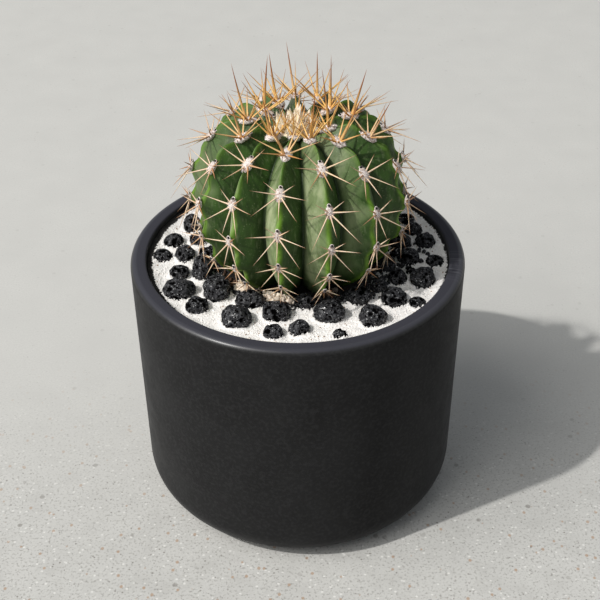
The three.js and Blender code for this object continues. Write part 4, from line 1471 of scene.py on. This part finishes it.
class CACTUS_OT_crown(bpy.types.Operator):
    """Models the low felt, woolly tufts and loose fibres in the middle of the crown"""
    bl_idname = "cactus.crown"
    bl_label = "Crown wool"

    def execute(self, context):
        look = context.scene.cactus_crown
        random = np.random.default_rng(look.seed)
        felt = felt_material("crown wool", look.wool, context.scene.cactus_areoles.felt)
        dress(self.mound(look), felt, ["cactus"])
        dress(self.tufts(look, random), felt, ["cactus"])
        dress(self.fibres(look, random), felt, ["cactus"])
        return {"FINISHED"}

    def mound(self, look):
        """The low felt that fills the crown's hollow between the tufts"""
        deselect_all()
        bpy.ops.mesh.primitive_ico_sphere_add(subdivisions=5, radius=1)
        mound = adopt("crown_felt")
        unit = coordinates(mound.data)
        points = unit * (look.mound_radius, look.mound_radius, look.mound_height)
        points[:, 2] += self.floor_of_crown(points)
        # Broad clumps with small ones on them
        clumps = wobble(points, 2.4 * MM, 3) * 0.55 * MM + wobble(points, 0.7 * MM, 2) * 0.16 * MM
        points += unit * clumps[:, None]
        set_coordinates(mound.data, points)
        paint(mound.data, "youth", np.ones(len(points)))
        return mound

    def floor_of_crown(self, spots):
        """Height of the crown's surface over points near the axis"""
        radii = np.hypot(spots[:, 0], spots[:, 1])
        upper = CREST_TRAVEL > CREST_LENGTH * 0.8
        return np.interp(radii, CREST_LINE[upper, 0][::-1], CREST_LINE[upper, 1][::-1])

    def spots(self, total, look, random):
        """Roots spread over the middle of the crown, and how far out each one stands, 0 to 1"""
        out = look.spread * np.sqrt(random.uniform(0, 1, total))
        turn = random.uniform(0, TURN, total)
        spots = np.stack([out * np.cos(turn), out * np.sin(turn), np.zeros(total)], axis=-1)
        spots[:, 2] = self.floor_of_crown(spots) - 1.0 * MM
        return spots, out / look.spread

    def grow(self, unit, root, lean, wide, deep, tall, twist):
        """A flame of wool: the pattern drawn along a leaning line, flattened and twisted to its point"""
        aim = normalised(lean)
        side = normalised(np.cross(aim, (root[0], root[1], 0.1 * MM)))
        other = np.cross(aim, side)
        along = unit[:, 2]
        across, beside = unit[:, 0] * wide, unit[:, 1] * deep
        swirl = twist * along
        turned = across * np.cos(swirl) - beside * np.sin(swirl)
        bowed = across * np.sin(swirl) + beside * np.cos(swirl)
        return root + np.outer(along, aim) * tall + np.outer(turned, side) + np.outer(bowed, other)

    def lean(self, spot, look, outward, astray, random):
        """Which way a tuft or fibre points: up, but outward by one share and astray by another"""
        leaning = np.array([spot[0], spot[1], 0]) / look.spread * outward + (0, 0, 1)
        return leaning + random.normal(0, astray, 3)

    def tufts(self, look, random):
        cone, unit = cone_pattern(14, np.linspace(0.1, 0.9, 9))
        # The cone bellies out like a flame, with flutes round it
        rest = 1 - unit[:, 2]
        flame = 0.75 + 0.55 * np.sin(math.pi * unit[:, 2] ** 0.8)
        belly = np.where(rest > 0, np.maximum(rest, 1e-6) ** -0.22, 0) * flame
        flutes = 1 + 0.16 * np.cos(7 * np.arctan2(unit[:, 1], unit[:, 0]))
        unit[:, :2] *= (belly * flutes)[:, None]
        spots, out = self.spots(look.tufts, look, random)
        placed = []
        for spot, far in zip(spots, out):
            lean = self.lean(spot, look, 0.3, 0.09, random)
            tall = look.tuft_length * (1.1 - 0.4 * far) * random.uniform(0.75, 1.15)
            size = random.uniform(0.7, 1.1)
            placed.append(self.grow(unit, spot, lean, look.tuft_width * size, look.tuft_depth * size, tall,
                                    random.uniform(-0.5, 0.5)))
        return copies("crown_tufts", cone, np.array(placed), {"youth": np.ones((1, 1))})

    def fibres(self, look, random):
        cone, unit = cone_pattern(3)
        spots, _ = self.spots(look.fibres, look, random)
        placed = []
        for spot in spots:
            lean = self.lean(spot, look, 0.8, 0.35, random)
            tall = look.tuft_length * random.uniform(0.35, 1.0)
            placed.append(self.grow(unit, spot, lean, look.fibre_radius, look.fibre_radius, tall, 0))
        return copies("crown_fibres", cone, np.array(placed), {"youth": np.ones((1, 1))})


class CACTUS_OT_litter(bpy.types.Operator):
    """Models the dry husks and crumbs that lie against the base of the stem"""
    bl_idname = "cactus.litter"
    bl_label = "Dry litter"

    # Heaps: azimuth in degrees, distance from the axis in mm, how brown, and share of a full heap
    HEAPS = [(-60, 38.5, 0.8, 0.25), (-44, 37, 0.1, 1.0), (-34, 34.5, 0.7, 0.3), (-20, 35.5, 0.1, 1.0),
             (-8, 36, 0.5, 0.5), (24, 33.5, 0.8, 0.35)]

    def execute(self, context):
        look = context.scene.cactus_crown
        random = np.random.default_rng(look.seed + 1)
        crumb, unit = pattern_of(bpy.ops.mesh.primitive_ico_sphere_add, subdivisions=2, radius=1)
        placed, tint = [], []
        for degrees, radius, brown, amount in self.HEAPS:
            for _ in range(int(look.crumbs * amount)):
                azimuth = math.radians(degrees + random.normal(0, 5.5))
                out = radius * MM + random.normal(0, 1.3 * MM)
                # The heap is highest along its middle
                near = 1 - min(1.0, abs(out - radius * MM) / (4 * MM))
                height = SAND_HIGH.z + (1 + random.uniform(0, 1) ** 1.5 * 3.6 * near) * MM
                spot = at_azimuth(azimuth, np.array([out, height]))
                shape = lumpy(unit, random, height=0.35, size=0.7, octaves=1)
                placed.append(spot + shape * random.uniform(0.45, 1.25, 3) * look.crumb_size)
                tint.append([np.clip(brown + random.uniform(-0.1, 0.55), 0, 1)])
        heap = copies("dry_litter", crumb, np.array(placed), {"tint": np.array(tint)})
        dress(heap, litter_material(look), [], smooth=40)
        return {"FINISHED"}


class CACTUS_OT_stage(bpy.types.Operator):
    """Lays the floor and sets the sun, the sky light and the camera"""
    bl_idname = "cactus.stage"
    bl_label = "Stage"

    def execute(self, context):
        look = context.scene.cactus_stage
        deselect_all()
        bpy.ops.mesh.primitive_plane_add(size=look.floor_size)
        floor = adopt("floor")
        floor.data.materials.append(floor_material(look))
        self.light(context, look)
        self.camera(context, look)
        return {"FINISHED"}

    def light(self, context, look):
        sun = self.lamp("SUN", "sun", look, look.sun_elevation, 1)
        sun.energy = look.sun_strength
        sun.angle = look.sun_size
        soft = self.lamp("AREA", "soft_light", look, look.soft_elevation, look.soft_distance)
        soft.size = look.soft_size
        soft.energy = look.soft_power
        world = bpy.data.worlds.new("soft sky")
        world.use_nodes = True
        sky = world.node_tree.nodes["Background"]
        sky.inputs["Color"].default_value = (*look.sky_colour, 1)
        sky.inputs["Strength"].default_value = look.sky_strength
        context.scene.world = world
        context.scene.view_settings.view_transform = "Standard"

    def lamp(self, kind, name, look, elevation, distance):
        """Adds a light on the sun's side that shines at the pot's foot"""
        level = math.cos(elevation)
        towards = Vector((-level * math.cos(look.sun_turn), -level * math.sin(look.sun_turn),
                          math.sin(elevation)))
        bpy.ops.object.light_add(type=kind, location=towards * distance)
        lamp = bpy.context.object
        lamp.name = name
        lamp.rotation_euler = towards.to_track_quat("Z", "Y").to_euler()
        lamp.data.color = look.sun_colour
        return lamp.data

    def camera(self, context, look):
        back = Vector((0, -math.cos(look.pitch), math.sin(look.pitch)))
        aim = Vector((look.aim_side, 0, look.aim_height))
        bpy.ops.object.camera_add(location=aim + back * look.distance)
        camera = context.object
        camera.name = "camera"
        turn = back.to_track_quat("Z", "Y").to_matrix().to_4x4()
        turn = turn @ turn.Rotation(look.roll, 4, "Z")
        camera.rotation_euler = turn.to_euler()
        camera.data.lens = look.lens
        camera.data.sensor_width = 36
        camera.data.clip_start = 0.01
        context.scene.camera = camera


class CACTUS_PT_panel(bpy.types.Panel):
    """Lists the cactus's pieces in the 3D view's sidebar"""
    bl_idname = "CACTUS_PT_panel"
    bl_label = "Potted Round Cactus"
    bl_space_type = "VIEW_3D"
    bl_region_type = "UI"
    bl_category = "Cactus"

    def draw(self, context):
        for operator in PIECES:
            self.layout.operator(operator.bl_idname)
        for name, group in SETTINGS.items():
            box = self.layout.box()
            box.label(text=group.__doc__)
            for key in group.__annotations__:
                box.prop(getattr(context.scene, name), key)


SETTINGS = {
    "cactus_pot": PotSettings,
    "cactus_sand": SandSettings,
    "cactus_pebbles": PebbleSettings,
    "cactus_stem": StemSettings,
    "cactus_areoles": AreoleSettings,
    "cactus_spines": SpineSettings,
    "cactus_crown": CrownSettings,
    "cactus_stage": StageSettings,
}
PIECES = [CACTUS_OT_pot, CACTUS_OT_soil, CACTUS_OT_sand, CACTUS_OT_pebbles, CACTUS_OT_stem,
          CACTUS_OT_areoles, CACTUS_OT_spines, CACTUS_OT_crown, CACTUS_OT_litter, CACTUS_OT_stage]


def register():
    for name, group in SETTINGS.items():
        bpy.utils.register_class(group)
        setattr(bpy.types.Scene, name, PointerProperty(type=group))
    for item in (*PIECES, CACTUS_PT_panel):
        bpy.utils.register_class(item)


def unregister():
    for item in (CACTUS_PT_panel, *reversed(PIECES)):
        bpy.utils.unregister_class(item)
    for name, group in reversed(SETTINGS.items()):
        delattr(bpy.types.Scene, name)
        bpy.utils.unregister_class(group)


def main():
    register()
    bpy.ops.cactus.stage()
    bpy.ops.cactus.pot()
    bpy.ops.cactus.soil()
    bpy.ops.cactus.sand()
    bpy.ops.cactus.pebbles()
    bpy.ops.cactus.stem()
    bpy.ops.cactus.areoles()
    bpy.ops.cactus.spines()
    bpy.ops.cactus.crown()
    bpy.ops.cactus.litter()


if __name__ == "__main__":
    main()
